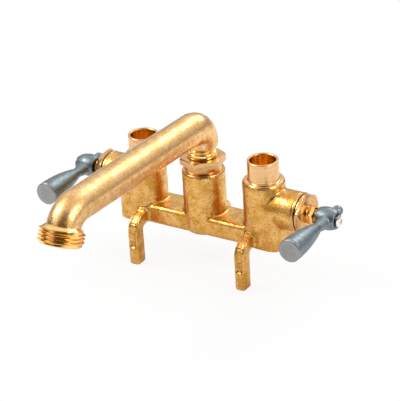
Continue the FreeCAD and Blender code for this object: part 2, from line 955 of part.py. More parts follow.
def make_spout_nut(doc, s):
    """Nut with a round collar under its hexagon, screwed into the middle post."""
    body = add_body(doc, "spout_nut")
    bore = s.tail_diameter / 2 + s.tail_clearance
    corner = s.spout_nut_flats / math.sqrt(3)
    seat = s.middle_post_height
    top = seat + s.spout_nut_height
    low = top - s.spout_nut_hexagon_height
    collar = s.spout_nut_collar / 2
    thread = s.spout_nut_thread / 2
    bevel = s.spout_nut_bevel
    sketch = add_sketch(body, "NutProfile", "XZ_Plane")
    draw(sketch, [
        (bore, seat - s.spout_nut_thread_length),
        (thread, seat - s.spout_nut_thread_length),
        (thread, seat),
        (collar, seat),
        (collar, low),
        (corner - bevel / 2, low),
        (corner, low + bevel / 4),
        (corner, top - bevel * 0.6),
        (corner - bevel, top),
        (bore, top),
    ])
    turn_profile(body, "NutBlank", sketch, "V_Axis")
    cut_hexagon(body, "XY_Plane", top, s.spout_nut_flats, s.spout_nut_clock,
                s.spout_nut_hexagon_height)
    return body


def valve_body(doc, s, side, name):
    """Body of a valve piece, turned half round for the left side."""
    return add_body(doc, f"{side}_{name}", z=s.valve_height, turn=SIDES[side])


def turned_piece(doc, s, side, name, steps):
    """Valve piece turned about the valve's axis."""
    body = valve_body(doc, s, side, name)
    sketch = add_sketch(body, "Profile", "XZ_Plane")
    draw(sketch, steps)
    turn_profile(body, "Turned", sketch)
    return body


def make_gasket(doc, s, side):
    """Fibre gasket between the bonnet's flange and the casting."""
    start = chamber_end(s)
    end = start + s.gasket_thickness
    inner = s.gasket_inner / 2
    outer = s.gasket_outer / 2
    return turned_piece(doc, s, side, "bonnet_gasket", [
        (start, inner), (end, inner), (end, outer), (start, outer),
    ])


def bonnet_clock(s, side):
    """Angle that a side's hexagons are screwed home at."""
    return getattr(s, f"{side}_bonnet_clock")


def make_bonnet(doc, s, side):
    """Bonnet with a round rim, the stem's thread and the packing's cavity."""
    end = chamber_end(s)
    flange = end + s.gasket_thickness
    rim = flange + s.bonnet_rim
    face = bonnet_face(s)
    corner = s.bonnet_flats / math.sqrt(3)
    bevel = s.bonnet_bevel
    shank = s.bonnet_thread / 2 - s.thread_clearance
    thread = s.stem_thread / 2 + s.running_clearance
    spindle = s.spindle_diameter / 2 + s.running_clearance
    cavity = s.packing_cavity / 2
    body = turned_piece(doc, s, side, "bonnet", [
        (end - s.bonnet_shank, thread),
        (end - s.bonnet_shank, shank),
        (flange, shank),
        (flange, s.bonnet_rim_diameter / 2),
        (rim, s.bonnet_rim_diameter / 2),
        (rim, corner),
        (face - bevel * 0.6, corner),
        (face, corner - bevel),
        (face, cavity),
        (end - s.bonnet_wall_outer, cavity),
        (end - s.bonnet_wall_outer, spindle),
        (end - s.bonnet_wall_inner, spindle),
        (end - s.bonnet_wall_inner, thread),
    ])
    cut_hexagon(body, "YZ_Plane", face, s.bonnet_flats, bonnet_clock(s, side), face - rim)
    return body


def make_packing(doc, s, side):
    """Packing ring in the bonnet's cavity."""
    start = chamber_end(s) - s.bonnet_wall_outer
    end = start + s.packing_length
    inner = s.spindle_diameter / 2 + s.running_clearance
    outer = s.packing_cavity / 2 - s.thread_clearance
    return turned_piece(doc, s, side, "packing_ring", [
        (start, inner), (end, inner), (end, outer), (start, outer),
    ])


def make_packing_nut(doc, s, side):
    """Small hexagon nut that presses the packing."""
    start = chamber_end(s) - s.bonnet_wall_outer + s.packing_length
    head = bonnet_face(s) + s.packing_nut_standoff
    face = head + s.packing_nut_head
    bore = s.spindle_diameter / 2 + s.running_clearance
    shank = s.packing_cavity / 2 - s.thread_clearance
    corner = s.packing_nut_flats / math.sqrt(3)
    bevel = s.packing_nut_bevel
    body = turned_piece(doc, s, side, "packing_nut", [
        (start, bore),
        (start, shank),
        (head, shank),
        (head, corner),
        (face - bevel / 2, corner),
        (face, corner - bevel),
        (face, bore),
    ])
    cut_hexagon(body, "YZ_Plane", face, s.packing_nut_flats, bonnet_clock(s, side),
                s.packing_nut_head)
    return body


def make_seat(doc, s, side):
    """Screwed-in seat ring with a raised lip for the washer."""
    front = seat_face(s)
    back = front - s.seat_thickness
    bore = s.seat_bore / 2
    outer = s.seat_outside / 2 - s.thread_clearance
    lip = bore + s.seat_lip_width
    return turned_piece(doc, s, side, "valve_seat", [
        (back, bore),
        (back, outer),
        (front, outer),
        (front, lip),
        (front + s.seat_lip_height, lip),
        (front + s.seat_lip_height, bore),
    ])


def make_seat_washer(doc, s, side):
    """Rubber washer that closes on the seat."""
    start = washer_start(s) + s.washer_play
    end = start + s.washer_thickness
    return turned_piece(doc, s, side, "seat_washer", [
        (start, s.washer_bore / 2),
        (end, s.washer_bore / 2),
        (end, s.washer_outside / 2),
        (start, s.washer_outside / 2),
    ])


def make_washer_screw(doc, s, side):
    """Screw that holds the washer on the stem."""
    seat = washer_start(s)
    head = s.washer_screw_head / 2
    shank = s.washer_screw_shank / 2
    return turned_piece(doc, s, side, "washer_screw", [
        (seat - s.washer_screw_head_height, 0),
        (seat - s.washer_screw_head_height, head),
        (seat, head),
        (seat, shank),
        (seat + s.washer_screw_length, shank),
        (seat + s.washer_screw_length, 0),
    ])


def make_stem(doc, s, side):
    """Rising stem: disc, thread, spindle and the square for the handle."""
    disc = washer_start(s) + s.washer_thickness + s.washer_play * 2
    thread_start = disc + s.stem_disc_thickness
    thread_end = chamber_end(s) - s.bonnet_wall_inner - s.stem_thread_gap
    square_start = hub_start(s) + s.hub_recess_depth
    square_end = hub_start(s) + s.hub_length - s.hub_wall
    washer_hole = s.washer_bore / 2
    hole_end = washer_start(s) + s.washer_screw_length
    spindle = s.spindle_diameter / 2
    body = turned_piece(doc, s, side, "valve_stem", [
        (disc, washer_hole),
        (disc, s.stem_disc_diameter / 2),
        (thread_start, s.stem_disc_diameter / 2),
        (thread_start, s.stem_thread / 2),
        (thread_end, s.stem_thread / 2),
        (thread_end, spindle),
        (square_start, spindle),
        (square_start, 0),
        (hole_end, 0),
        (hole_end, washer_hole),
    ])
    square = add_sketch(body, "SquareOutline", "YZ_Plane", square_start)
    half = s.broach_size / 2
    draw(square, [(-half, -half), (half, -half), (half, half), (-half, half)])
    pad(body, "Square", square, square_end - square_start)
    hole = add_sketch(body, "ScrewHoleCircle", "YZ_Plane", square_end)
    draw_circle(hole, s.handle_screw_shank + s.screw_hole_clearance)
    depth = s.handle_screw_length - s.hub_wall + s.screw_hole_clearance
    pocket(body, "ScrewHole", hole, depth)
    return body


def make_handle_screw(doc, s, side):
    """Domed screw that holds the handle on the stem."""
    seat = hub_start(s) + s.hub_length
    head = s.handle_screw_head / 2
    shank = s.handle_screw_shank / 2
    rim = s.handle_screw_rim
    rise = s.handle_screw_head_height - rim
    dome = (head * head + rise * rise) / (rise * 2)
    return turned_piece(doc, s, side, "handle_screw", [
        (seat - s.handle_screw_length, 0),
        (seat - s.handle_screw_length, shank),
        (seat, shank),
        (seat, head),
        (seat + rim, head),
        (seat + s.handle_screw_head_height, 0, -dome),
    ])


def make_hub(body, s):
    """Barrel-shaped hub about its own middle."""
    half = s.hub_length / 2
    sketch = add_sketch(body, "HubProfile", "XZ_Plane")
    draw(sketch, [
        (-half, 0),
        (half, 0),
        (half, s.hub_outer_diameter / 2),
        (-half, s.hub_inner_diameter / 2, s.hub_crown),
    ])
    return turn_profile(body, "Hub", sketch)


def make_lever(body, s):
    """Club-shaped lever with a flat end and a root that widens into the hub."""
    end = s.lever_end_diameter / 2
    neck = s.lever_neck_diameter / 2
    root = s.lever_root_diameter / 2
    bevel = s.lever_end_bevel
    sketch = add_sketch(body, "LeverProfile", "XY_Plane")
    draw(sketch, [
        (0, -s.lever_reach),
        (end - bevel, -s.lever_reach),
        (end, bevel - s.lever_reach),
        (neck, -s.lever_neck_reach, s.lever_crown),
        (root, -s.lever_root_reach),
        (root, 0),
        (0, 0),
    ])
    return turn_profile(body, "Lever", sketch, "V_Axis")


def make_tail_stub(body, s):
    """Short round stub opposite the lever."""
    neck = s.tail_stub_neck / 2
    ball = s.tail_stub_ball / 2
    start = s.tail_stub_reach - (ball * ball - neck * neck).sqrt()
    sketch = add_sketch(body, "StubProfile", "XY_Plane")
    draw(sketch, [
        (0, 0),
        (neck, 0),
        (neck, start),
        (0, s.tail_stub_reach + ball, ball),
    ])
    return turn_profile(body, "Stub", sketch, "V_Axis")


def bore_handle(body, s):
    """Recess, square socket and screw hole through the hub."""
    half = s.hub_length / 2
    recess = add_sketch(body, "RecessCircle", "YZ_Plane", -half)
    draw_circle(recess, s.hub_recess_diameter)
    pocket(body, "Recess", recess, s.hub_recess_depth, reverse=True)
    start = -half + s.hub_recess_depth
    socket = add_sketch(body, "SocketOutline", "YZ_Plane", start)
    side = s.broach_size / 2 + s.broach_clearance / 2
    draw(socket, [(-side, -side), (side, -side), (side, side), (-side, side)])
    length = s.hub_length - s.hub_recess_depth - s.hub_wall
    pocket(body, "SquareSocket", socket, length, reverse=True)
    hole = add_sketch(body, "ScrewCircle", "YZ_Plane", half)
    draw_circle(hole, s.handle_screw_shank + s.screw_hole_clearance)
    pocket(body, "ScrewPassage", hole, s.hub_wall * 2)


def make_handle(doc, s, side):
    """Lever handle: hub, lever, tail stub and the square socket."""
    middle = hub_start(s) + s.hub_length / 2
    place = middle if side == "right" else -middle
    body = add_body(doc, f"{side}_lever_handle", place, s.valve_height, SIDES[side])
    make_hub(body, s)
    make_lever(body, s)
    make_tail_stub(body, s)
    bore_handle(body, s)
    return body


def make_clamp_screw(doc, s):
    """Square-headed clamp screw through the rear leg."""
    body = add_body(doc, "clamp_screw", z=-s.clamp_screw_height)
    tip = s.clamp_screw_tip
    end = tip + s.clamp_screw_length
    radius = s.clamp_screw_thread / 2
    cut = s.clamp_screw_chamfer
    sketch = add_sketch(body, "ScrewProfile", "YZ_Plane")
    draw(sketch, [
        (tip, 0),
        (tip, radius - cut),
        (tip + cut, radius),
        (end, radius),
        (end, 0),
    ])
    turn_profile(body, "Screw", sketch)
    head = add_sketch(body, "HeadOutline", "XZ_Plane", -(end + s.clamp_screw_head_length))
    half = s.clamp_screw_head / 2
    draw(head, [(-half, -half), (half, -half), (half, half), (-half, half)])
    pad(body, "Head", head, s.clamp_screw_head_length)
    return body


def make_valve(doc, s, side):
    """Every piece of one valve, from the seat to the handle."""
    makers = (make_seat, make_seat_washer, make_washer_screw, make_stem, make_gasket,
              make_bonnet, make_packing, make_packing_nut, make_handle, make_handle_screw)
    return [maker(doc, s, side) for maker in makers]


def check_objects(doc):
    """Stop if a feature failed or a sub-part's shape is empty or not valid."""
    for item in doc.Objects:
        if "Invalid" in item.State or "Error" in item.State:
            raise RuntimeError(f"{item.Name}: {item.State}")


def write_parts(bodies):
    """One STEP file for each sub-part."""
    os.makedirs("parts", exist_ok=True)
    for body in bodies:
        shape = body.Shape
        if shape.isNull() or not shape.isValid():
            raise RuntimeError(f"{body.Label}: shape is empty or not valid")
        shape.exportStep(f"parts/{body.Label}.step")
        print(f"{body.Label}: {shape.Volume:.1f} mm3, {len(shape.Solids)} solid")


def main():
    """Build the document and write its sub-parts."""
    doc = FreeCAD.newDocument("LaundryFaucet")
    s = make_sheet(doc)
    bodies = [make_casting(doc, s), make_spout(doc, s), make_spout_nut(doc, s)]
    bodies += make_spout_rings(doc, s)
    for side in SIDES:
        bodies += make_valve(doc, s, side)
    bodies.append(make_clamp_screw(doc, s))
    doc.recompute()
    check_objects(doc)
    write_parts(bodies)


main()
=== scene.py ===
"""Studio scene of a clamp-on utility sink faucet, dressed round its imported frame."""
import json
import logging
import math
from abc import ABC, abstractmethod
from dataclasses import KW_ONLY, dataclass
from enum import Enum
from typing import Any, Sequence

import bpy
from mathutils import Matrix, Vector


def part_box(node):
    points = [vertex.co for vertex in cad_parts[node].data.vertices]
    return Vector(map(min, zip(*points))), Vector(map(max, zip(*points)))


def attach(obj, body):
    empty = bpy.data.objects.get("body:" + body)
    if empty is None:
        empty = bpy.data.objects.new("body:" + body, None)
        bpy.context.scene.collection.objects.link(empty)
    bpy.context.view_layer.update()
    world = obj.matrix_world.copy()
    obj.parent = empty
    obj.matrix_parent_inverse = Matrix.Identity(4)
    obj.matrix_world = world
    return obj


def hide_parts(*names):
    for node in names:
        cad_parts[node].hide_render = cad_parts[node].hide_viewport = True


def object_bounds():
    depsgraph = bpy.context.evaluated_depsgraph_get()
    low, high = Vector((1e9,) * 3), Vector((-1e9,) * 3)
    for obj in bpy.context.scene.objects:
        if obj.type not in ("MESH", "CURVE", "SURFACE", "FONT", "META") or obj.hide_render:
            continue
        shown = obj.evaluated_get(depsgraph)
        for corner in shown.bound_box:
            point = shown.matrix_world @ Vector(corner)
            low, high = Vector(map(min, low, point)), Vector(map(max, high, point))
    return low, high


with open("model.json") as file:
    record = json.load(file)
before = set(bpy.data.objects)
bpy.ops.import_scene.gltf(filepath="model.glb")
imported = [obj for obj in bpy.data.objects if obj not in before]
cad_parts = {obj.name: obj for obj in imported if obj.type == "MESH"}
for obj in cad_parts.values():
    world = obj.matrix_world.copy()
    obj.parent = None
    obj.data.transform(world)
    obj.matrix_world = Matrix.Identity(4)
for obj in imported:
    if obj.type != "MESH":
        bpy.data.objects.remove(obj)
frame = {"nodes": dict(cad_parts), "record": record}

LOG = logging.getLogger("faucet")
CAD_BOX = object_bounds()
MM = 0.001
WELD = 0.002 * MM  # corners that are closer are made one
VALVE_HEIGHT = 25.0  # of both valves' common axis, in millimetres
FLAT_ANGLE = 0.3  # faces of a flat that turn by less are made one, in degrees
CAST_ANGLE = 60.0  # edges of a cast skin that are sharper stay sharp, in degrees
BEYOND = 0.01  # how far a block reaches past what it cuts, in metres
LATHE = "lathe"
Profile = Sequence[tuple[float, float]]
Colour = tuple[float, float, float]
Socket = bpy.types.NodeSocket
Materials = dict[str, bpy.types.Material]
BODY_OF = {
    node: body
    for body, nodes in frame["record"]["behaviour"]["bodies"].items()
    for node in nodes
}
MOUNTS = {mount["name"]: mount for mount in frame["record"]["mounts"]}


class Side(Enum):
    """The two ends of the faucet, with the sign of their place along X."""

    RIGHT = 1
    LEFT = -1

    @property
    def word(self) -> str:
        """Name of the side as the node names begin."""
        return self.name.lower()


class Axis(Enum):
    """Directions that a turned piece may point along."""

    UP = (0.0, 0.0, 1.0)
    RIGHT = (1.0, 0.0, 0.0)
    LEFT = (-1.0, 0.0, 0.0)
    FRONT = (0.0, -1.0, 0.0)


def standing(origin: Sequence[float], direction: Sequence[float]) -> Matrix:
    """Matrix that stands a piece modelled about +Z on a point, along a direction.

    Args:
        origin: Point that the piece's own origin goes to, in metres.
        direction: Direction that the piece's +Z goes to.

    Returns:
        The matrix from the piece's own frame to the row's frame.
    """
    turn_to = Vector((0.0, 0.0, 1.0)).rotation_difference(Vector(direction))
    return Matrix.Translation(Vector(origin)) @ turn_to.to_matrix().to_4x4()


UPRIGHT = standing((0.0, 0.0, 0.0), Axis.UP.value)
VALVE_AXIS = standing((0.0, 0.0, VALVE_HEIGHT * MM), Axis.RIGHT.value)


def activate(piece: bpy.types.Object) -> None:
    """Select one object alone and make it the active one.

    Args:
        piece: The object that the next operator acts on.
    """
    bpy.ops.object.select_all(action="DESELECT")
    piece.select_set(True)
    bpy.context.view_layer.objects.active = piece


def apply_modifier(piece: bpy.types.Object, kind: str, **settings: Any) -> None:
    """Add a modifier with its settings and apply it.

    Args:
        piece: The object to change.
        kind: Type of the modifier.
        settings: Values of the modifier's properties.
    """
    activate(piece)
    modifier = piece.modifiers.new(kind.lower(), kind)
    for key, value in settings.items():
        setattr(modifier, key, value)
    bpy.ops.object.modifier_apply(modifier=modifier.name)


def weld(piece: bpy.types.Object) -> None:
    """Merge the doubled corners of a mesh and turn its faces outwards.

    Args:
        piece: The object to change.
    """
    activate(piece)
    bpy.ops.object.mode_set(mode="EDIT")
    bpy.ops.mesh.select_all(action="SELECT")
    bpy.ops.mesh.remove_doubles(threshold=WELD)
    bpy.ops.mesh.normals_make_consistent(inside=False)
    bpy.ops.object.mode_set(mode="OBJECT")


def copy_of(node: str, name: str) -> bpy.types.Object:
    """Welded copy of a node's mesh, as a new object.

    Args:
        node: Name of the CAD node.
        name: Name of the new piece.

    Returns:
        The new object, not yet riding on a body.
    """
    piece = bpy.data.objects.new(name, frame["nodes"][node].data.copy())
    bpy.context.scene.collection.objects.link(piece)
    weld(piece)
    return piece


def cut(piece: bpy.types.Object, cutter: bpy.types.Object) -> None:
    """Take a cutter's volume away from a piece and remove the cutter.

    Args:
        piece: The object to cut.
        cutter: The object that is taken away.
    """
    apply_modifier(piece, "BOOLEAN", operation="DIFFERENCE", solver="EXACT", object=cutter)
    bpy.data.objects.remove(cutter)


def set_place(piece: bpy.types.Object, place: Matrix) -> None:
    """Put a piece modelled about the origin in its place and keep the place in its mesh.

    Args:
        piece: The object to move.
        place: Matrix from the piece's own frame to the row's frame.
    """
    activate(piece)
    piece.matrix_world = place
    bpy.ops.object.transform_apply(location=True, rotation=True, scale=True)


def mark_lathe(piece: bpy.types.Object, place: Matrix) -> None:
    """Store each corner's height along a turning axis and its distance from that axis.

    Args:
        piece: The object in the row's frame.
        place: Matrix whose Z is the turning axis.
    """
    back = place.inverted()
    layer = piece.data.attributes.new(LATHE, "FLOAT_VECTOR", "POINT")
    for corner, value in zip(piece.data.vertices, layer.data):
        local = back @ corner.co
        value.vector = (local.z, math.hypot(local.x, local.y), 0.0)


def smooth(piece: bpy.types.Object, degrees: float = 32.0) -> None:
    """Shade a piece smooth but for the edges sharper than an angle.

    Args:
        piece: The object to shade.
        degrees: The angle.
    """
    activate(piece)
    bpy.ops.object.shade_smooth_by_angle(angle=math.radians(degrees))


def bevel(piece: bpy.types.Object, width: float, degrees: float = 28.0) -> None:
    """Break the sharp edges of a piece.

    Args:
        piece: The object to bevel.
        width: Width of the broken edge, in metres.
        degrees: Edges sharper than this are broken.
    """
    apply_modifier(
        piece, "BEVEL", width=width, segments=2, limit_method="ANGLE",
        angle_limit=math.radians(degrees), use_clamp_overlap=True,
        harden_normals=False, miter_outer="MITER_ARC",
    )


def turned(
    name: str, profile: Profile, place: Matrix, edge: float = 0.15, sides: int = 96
) -> bpy.types.Object:
    """Turn a profile about its axis, as on a lathe.

    Args:
        name: Name of the piece.
        profile: Corners (radius, height) in millimetres. A profile that ends where it
            began makes a ring; any other is closed by flat ends.
        place: Matrix from the piece's own frame, with the axis along Z, to the row's.
        edge: Width of the broken edges, in millimetres; none if zero.
        sides: Number of faces round the axis.

    Returns:
        The turned piece, in its place.
    """
    radius, height = profile[0]
    bpy.ops.object.select_all(action="DESELECT")
    bpy.ops.mesh.primitive_circle_add(vertices=sides, radius=radius * MM)
    piece = bpy.context.active_object
    piece.name = name
    bpy.ops.object.mode_set(mode="EDIT")
    bpy.ops.mesh.select_all(action="SELECT")
    bpy.ops.transform.translate(value=(0.0, 0.0, height * MM))
    for next_radius, next_height in profile[1:]:
        rise = (0.0, 0.0, (next_height - height) * MM)
        bpy.ops.mesh.extrude_region_move(TRANSFORM_OT_translate={"value": rise})
        ratio = next_radius / radius
        bpy.ops.transform.resize(value=(ratio, ratio, 1.0), center_override=(0.0, 0.0, 0.0))
        radius, height = next_radius, next_height
    bpy.ops.mesh.select_all(action="SELECT")
    bpy.ops.mesh.remove_doubles(threshold=WELD)
    if profile[0] != profile[-1]:
        bpy.ops.mesh.fill_holes(sides=0)
    bpy.ops.mesh.select_all(action="SELECT")
    bpy.ops.mesh.normals_make_consistent(inside=False)
    bpy.ops.object.mode_set(mode="OBJECT")
    if edge:
        bevel(piece, edge * MM)
    set_place(piece, place)
    mark_lathe(piece, place)
    smooth(piece)
    return piece


def machined(node: str, name: str, axis: Matrix, edge: float) -> bpy.types.Object:
    """Copy of a machined node with its edges broken and its lathe marks stored.

    Args:
        node: The CAD node.
        name: Name of the piece.
        axis: Matrix whose Z is the turning axis.
        edge: Width of the broken edges, in metres.

    Returns:
        The piece.
    """
    piece = copy_of(node, name)
    activate(piece)
    bpy.ops.object.mode_set(mode="EDIT")
    bpy.ops.mesh.select_all(action="SELECT")
    bpy.ops.mesh.dissolve_limited(angle_limit=math.radians(FLAT_ANGLE))
    bpy.ops.object.mode_set(mode="OBJECT")
    bevel(piece, edge)
    mark_lathe(piece, axis)
    smooth(piece)
    return piece


def turned_cutter(profile: Profile, place: Matrix, sides: int = 48) -> bpy.types.Object:
    """Turn a plain body that is only taken away from a piece.

    Args:
        profile: Corners (radius, height) in millimetres.
        place: Matrix from the cutter's own frame to the row's frame.
        sides: Number of faces round the axis.

    Returns:
        The cutter.
    """
    return turned("cutter", profile, place, edge=0.0, sides=sides)


def block(low: Sequence[float], high: Sequence[float]) -> bpy.types.Object:
    """Box between two corners, as a cutter.

    Args:
        low: Lowest corner, in metres.
        high: Highest corner, in metres.

    Returns:
        The box.
    """
    low, high = Vector(low), Vector(high)
    bpy.ops.object.select_all(action="DESELECT")
    bpy.ops.mesh.primitive_cube_add(size=1.0, location=(low + high) / 2)
    cutter = bpy.context.active_object
    cutter.scale = high - low
    bpy.ops.object.transform_apply(location=True, rotation=True, scale=True)
    return cutter


def soften(piece: bpy.types.Object, rounds: int) -> None:
    """Smooth the corners of a mesh.

    Args:
        piece: The object to change.
        rounds: How many times each corner moves halfway to the middle of its neighbours.
    """
    apply_modifier(piece, "SMOOTH", factor=0.5, iterations=rounds)


def cast_skin(
    piece: bpy.types.Object, voxel: float, softness: int, lumps: "Lumps | None" = None
) -> None:
    """Give a sharp solid the soft corners and uneven skin of a casting.

    Args:
        piece: The closed mesh to change.
        voxel: Size of the new mesh's faces, in metres.
        softness: Rounds of smoothing.
        lumps: The unevenness that sand leaves; none on a die casting.
    """
    apply_modifier(piece, "REMESH", mode="VOXEL", voxel_size=voxel, use_smooth_shade=True)
    soften(piece, softness)
    if lumps:
        lumps.press_into(piece)


def dress(
    piece: bpy.types.Object,
    finish: bpy.types.Material,
    body: str,
    nodes: Sequence[str] = (),
) -> None:
    """Give a finished piece its material and the body that it moves with.

    Args:
        piece: The finished piece.
        finish: Its material.
        body: Body that it rides on.
        nodes: CAD nodes that it stands for.
    """
    piece.data.materials.clear()
    piece.data.materials.append(finish)
    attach(piece, body)
    if nodes:
        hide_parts(*nodes)
    LOG.info("%s: %d faces on %s", piece.name, len(piece.data.polygons), body)


@dataclass(frozen=True)
class Lumps:
    """Unevenness that sand leaves on a casting, as moves of the mesh along its normals."""

    height: float
    fine_height: float
    size: float = 4.0 * MM
    fine_size: float = 1.3 * MM

    def press_into(self, piece: bpy.types.Object) -> None:
        """Move the corners of a mesh by two sizes of noise.

        Args:
            piece: The mesh to change.
        """
        steps = ((self.size, self.height, 1), (self.fine_size, self.fine_height, 2))
        for size, height, depth in steps:
            noise = bpy.data.textures.new(f"{piece.name}_lumps_{depth}", "CLOUDS")
            noise.noise_scale = size
            noise.noise_depth = depth
            apply_modifier(
                piece, "DISPLACE", texture=noise, texture_coords="LOCAL",
                strength=height * 2, mid_level=0.5,
            )


class Wiring:
    """Short way to add and join the nodes of one tree."""

    def __init__(self, tree: bpy.types.NodeTree) -> None:
        """Hold the tree."""
        self.tree = tree

    def feed(self, node: bpy.types.Node, inputs: dict[str | int, Any]) -> None:
        """Set a node's inputs or link them.

        Args:
            node: The node.
            inputs: Values or sockets for its inputs, by name or number.
        """
        for key, value in inputs.items():
            if isinstance(value, Socket):
                self.tree.links.new(value, node.inputs[key])
            else:
                node.inputs[key].default_value = value

    def add(
        self, kind: str, inputs: dict[str | int, Any] | None = None, **settings: Any
    ) -> bpy.types.Node:
        """Add a node.

        Args:
            kind: The node's type, without the word ShaderNode that it begins with.
            inputs: Values or sockets for its inputs, by name or number.
            settings: Values of its properties.

        Returns:
            The new node.
        """
        node = self.tree.nodes.new(kind if kind.startswith("NodeGroup") else f"ShaderNode{kind}")
        for key, value in settings.items():
            setattr(node, key, value)
        self.feed(node, inputs or {})
        return node

    def math(self, operation: str, *values: float | Socket) -> Socket:
        """Add a Math node and give its result.

        Args:
            operation: The node's operation.
            values: Numbers or sockets.

        Returns:
            The result's socket.
        """
        node = self.add("Math", dict(enumerate(values)), operation=operation)
        return node.outputs[0]

    def between(
        self, value: Socket, low: float, high: float, first: float = 0.0, last: float = 1.0
    ) -> Socket:
        """Smoothly map one range of numbers to another.

        Args:
            value: The number.
            low: Where the first value is reached.
            high: Where the last value is reached.
            first: The first value.
            last: The last value.

        Returns:
            The mapped number's socket.
        """
        node = self.add(
            "MapRange",
            {"Value": value, "From Min": low, "From Max": high, "To Min": first, "To Max": last},
            interpolation_type="SMOOTHSTEP",
        )
        return node.outputs["Result"]

    def blend(self, share: Socket, first: Colour | Socket, second: Colour | Socket) -> Socket:
        """Mix two colours.

        Args:
            share: How much of the second colour.
            first: The first colour or its socket.
            second: The second colour or its socket.

        Returns:
            The mixed colour's socket.
        """
        first, second = (
            (*colour, 1.0) if isinstance(colour, tuple) else colour for colour in (first, second)
        )
        # A Mix node has one set of sockets per data type; these are the colour's.
        return self.add("Mix", {0: share, 6: first, 7: second}, data_type="RGBA").outputs[2]


def new_group(
    name: str, inputs: dict[str, float | None], outputs: Sequence[str]
) -> tuple[Wiring, bpy.types.Node]:
    """Make a node group whose outputs are plain numbers.

    Args:
        name: The group's name.
        inputs: Names and defaults of its inputs; a vector where the default is None.
        outputs: Names of its outputs.

    Returns:
        The group's wiring and its output node.
    """
    group = bpy.data.node_groups.new(name, "ShaderNodeTree")
    for label, value in inputs.items():
        kind = "NodeSocketVector" if value is None else "NodeSocketFloat"
        socket = group.interface.new_socket(label, in_out="INPUT", socket_type=kind)
        if value is not None:
            socket.default_value = value
    for label in outputs:
        group.interface.new_socket(label, in_out="OUTPUT", socket_type="NodeSocketFloat")
    w = Wiring(group)
    return w, w.add("NodeGroupOutput")


def sand_grain_group() -> bpy.types.NodeTree:
    """Group that gives the grain, the pits and the large patches of a sand casting.

    Returns:
        The group, with outputs Height, Pits and Patches.
    """
    w, end = new_group(
        "sand_grain", {"Place": None, "Grain": 1400.0}, ["Height", "Pits", "Patches"]
    )
    pit_per_grain, patch_per_grain, pit_depth = 0.62, 0.11, 0.45
    start = w.add("NodeGroupInput")
    place, grain = start.outputs["Place"], start.outputs["Grain"]
    fine = w.add("TexNoise", {"Vector": place, "Scale": grain, "Detail": 5.0, "Roughness": 0.62})
    pits = w.add("TexNoise", {
        "Vector": place, "Scale": w.math("MULTIPLY", grain, pit_per_grain),
        "Detail": 3.0, "Roughness": 0.5,
    })
    pit_mask = w.between(pits.outputs[0], low=0.54, high=0.68)
    patches = w.add("TexNoise", {
        "Vector": place, "Scale": w.math("MULTIPLY", grain, patch_per_grain),
        "Detail": 4.0, "Roughness": 0.6,
    })
    patch_mask = w.between(patches.outputs[0], low=0.36, high=0.64)
    height = w.math("SUBTRACT", fine.outputs[0], w.math("MULTIPLY", pit_mask, pit_depth))
    w.feed(end, {"Height": height, "Pits": pit_mask, "Patches": patch_mask})
    return w.tree


def turning_group() -> bpy.types.NodeTree:
    """Group that gives the fine rings that a lathe tool leaves.

    Returns:
        The group, with outputs Height and Tint.
    """
    w, end = new_group("turning_marks", {"Pitch": 0.00025}, ["Height", "Tint"])
    broad_per_ring = 0.12
    start = w.add("NodeGroupInput")
    store = w.add("Attribute", attribute_name=LATHE)
    height, radius, _ = w.add("SeparateXYZ", {0: store.outputs["Vector"]}).outputs
    steps = w.math("DIVIDE", w.math("ADD", height, radius), start.outputs["Pitch"])
    rings = w.add("TexNoise", {"W": steps, "Scale": 1.0, "Detail": 2.0}, noise_dimensions="1D")
    broad = w.add("TexNoise", {
        "W": w.math("MULTIPLY", steps, broad_per_ring), "Scale": 1.0, "Detail": 1.0,
    }, noise_dimensions="1D")
    w.feed(end, {"Height": rings.outputs[0], "Tint": broad.outputs[0]})
    return w.tree


def edge_group() -> bpy.types.NodeTree:
    """Group that finds the convex edges, where a highlight is painted, and the hollow corners, where
    shade is painted.

    Returns:
        The group, with one output for the painted edge highlight and one for the painted corner
        shade.
    """
    w, end = new_group("edge_wear", {}, ["Worn", "Deep"])
    shape = w.add("NewGeometry").outputs["Pointiness"]
    # Painted highlight: convex edges, where the mesh is pointed, are lightened.
    worn = w.between(shape, low=0.52, high=0.60)
    # Painted shade: hollow corners and creases, where the mesh is sunk, are darkened.
    corner_shade = w.between(shape, low=0.50, high=0.42)
    w.feed(end, {"Worn": worn, "Deep": corner_shade})
    return w.tree


class Groups:
    """The effects that several finishes share."""

    def __init__(self) -> None:
        """Build each group once."""
        self.grain = sand_grain_group()
        self.turning = turning_group()
        self.edges = edge_group()


def new_material(name: str) -> tuple[bpy.types.Material, Wiring, bpy.types.Node]:
    """Make a material with its own Principled shader.

    Args:
        name: The material's name.

    Returns:
        The material, its wiring and its shader node.
    """
    material = bpy.data.materials.new(name)
    material.use_nodes = True
    shader = material.node_tree.nodes["Principled BSDF"]
    return material, Wiring(material.node_tree), shader


@dataclass(frozen=True)
class Finish(ABC):
    """What all finishes have in common; each kind has its own pattern.

    The roughness is lower by the drop where the pattern's mask is empty, and higher than
    that by the spread where it is full.
    """

    name: str
    _: KW_ONLY
    light: Colour
    dark: Colour
    roughness: float
    rough_spread: float
    rough_drop: float
    relief: float
    metallic: float = 1.0

    @abstractmethod
    def pattern(self, w: Wiring, groups: Groups) -> tuple[Socket, Socket, Socket]:
        """Make what differs from one kind of finish to the next.

        Args:
            w: The material's wiring.
            groups: The shared effects.

        Returns:
            Sockets of the colour, of the mask of the rougher places, and of the relief.
        """

    def build(self, groups: Groups) -> bpy.types.Material:
        """Build the material.

        Args:
            groups: The shared effects.

        Returns:
            The material.
        """
        material, w, shader = new_material(self.name)
        colour, mask, height = self.pattern(w, groups)
        base = self.roughness - self.rough_drop
        relief = w.add("Bump", {"Strength": 1.0, "Distance": self.relief, "Height": height})
        w.feed(shader, {
            "Metallic": self.metallic,
            "Base Color": colour,
            "Roughness": w.math("MULTIPLY_ADD", mask, self.rough_spread, base),
            "Normal": relief.outputs[0],
        })
        return material


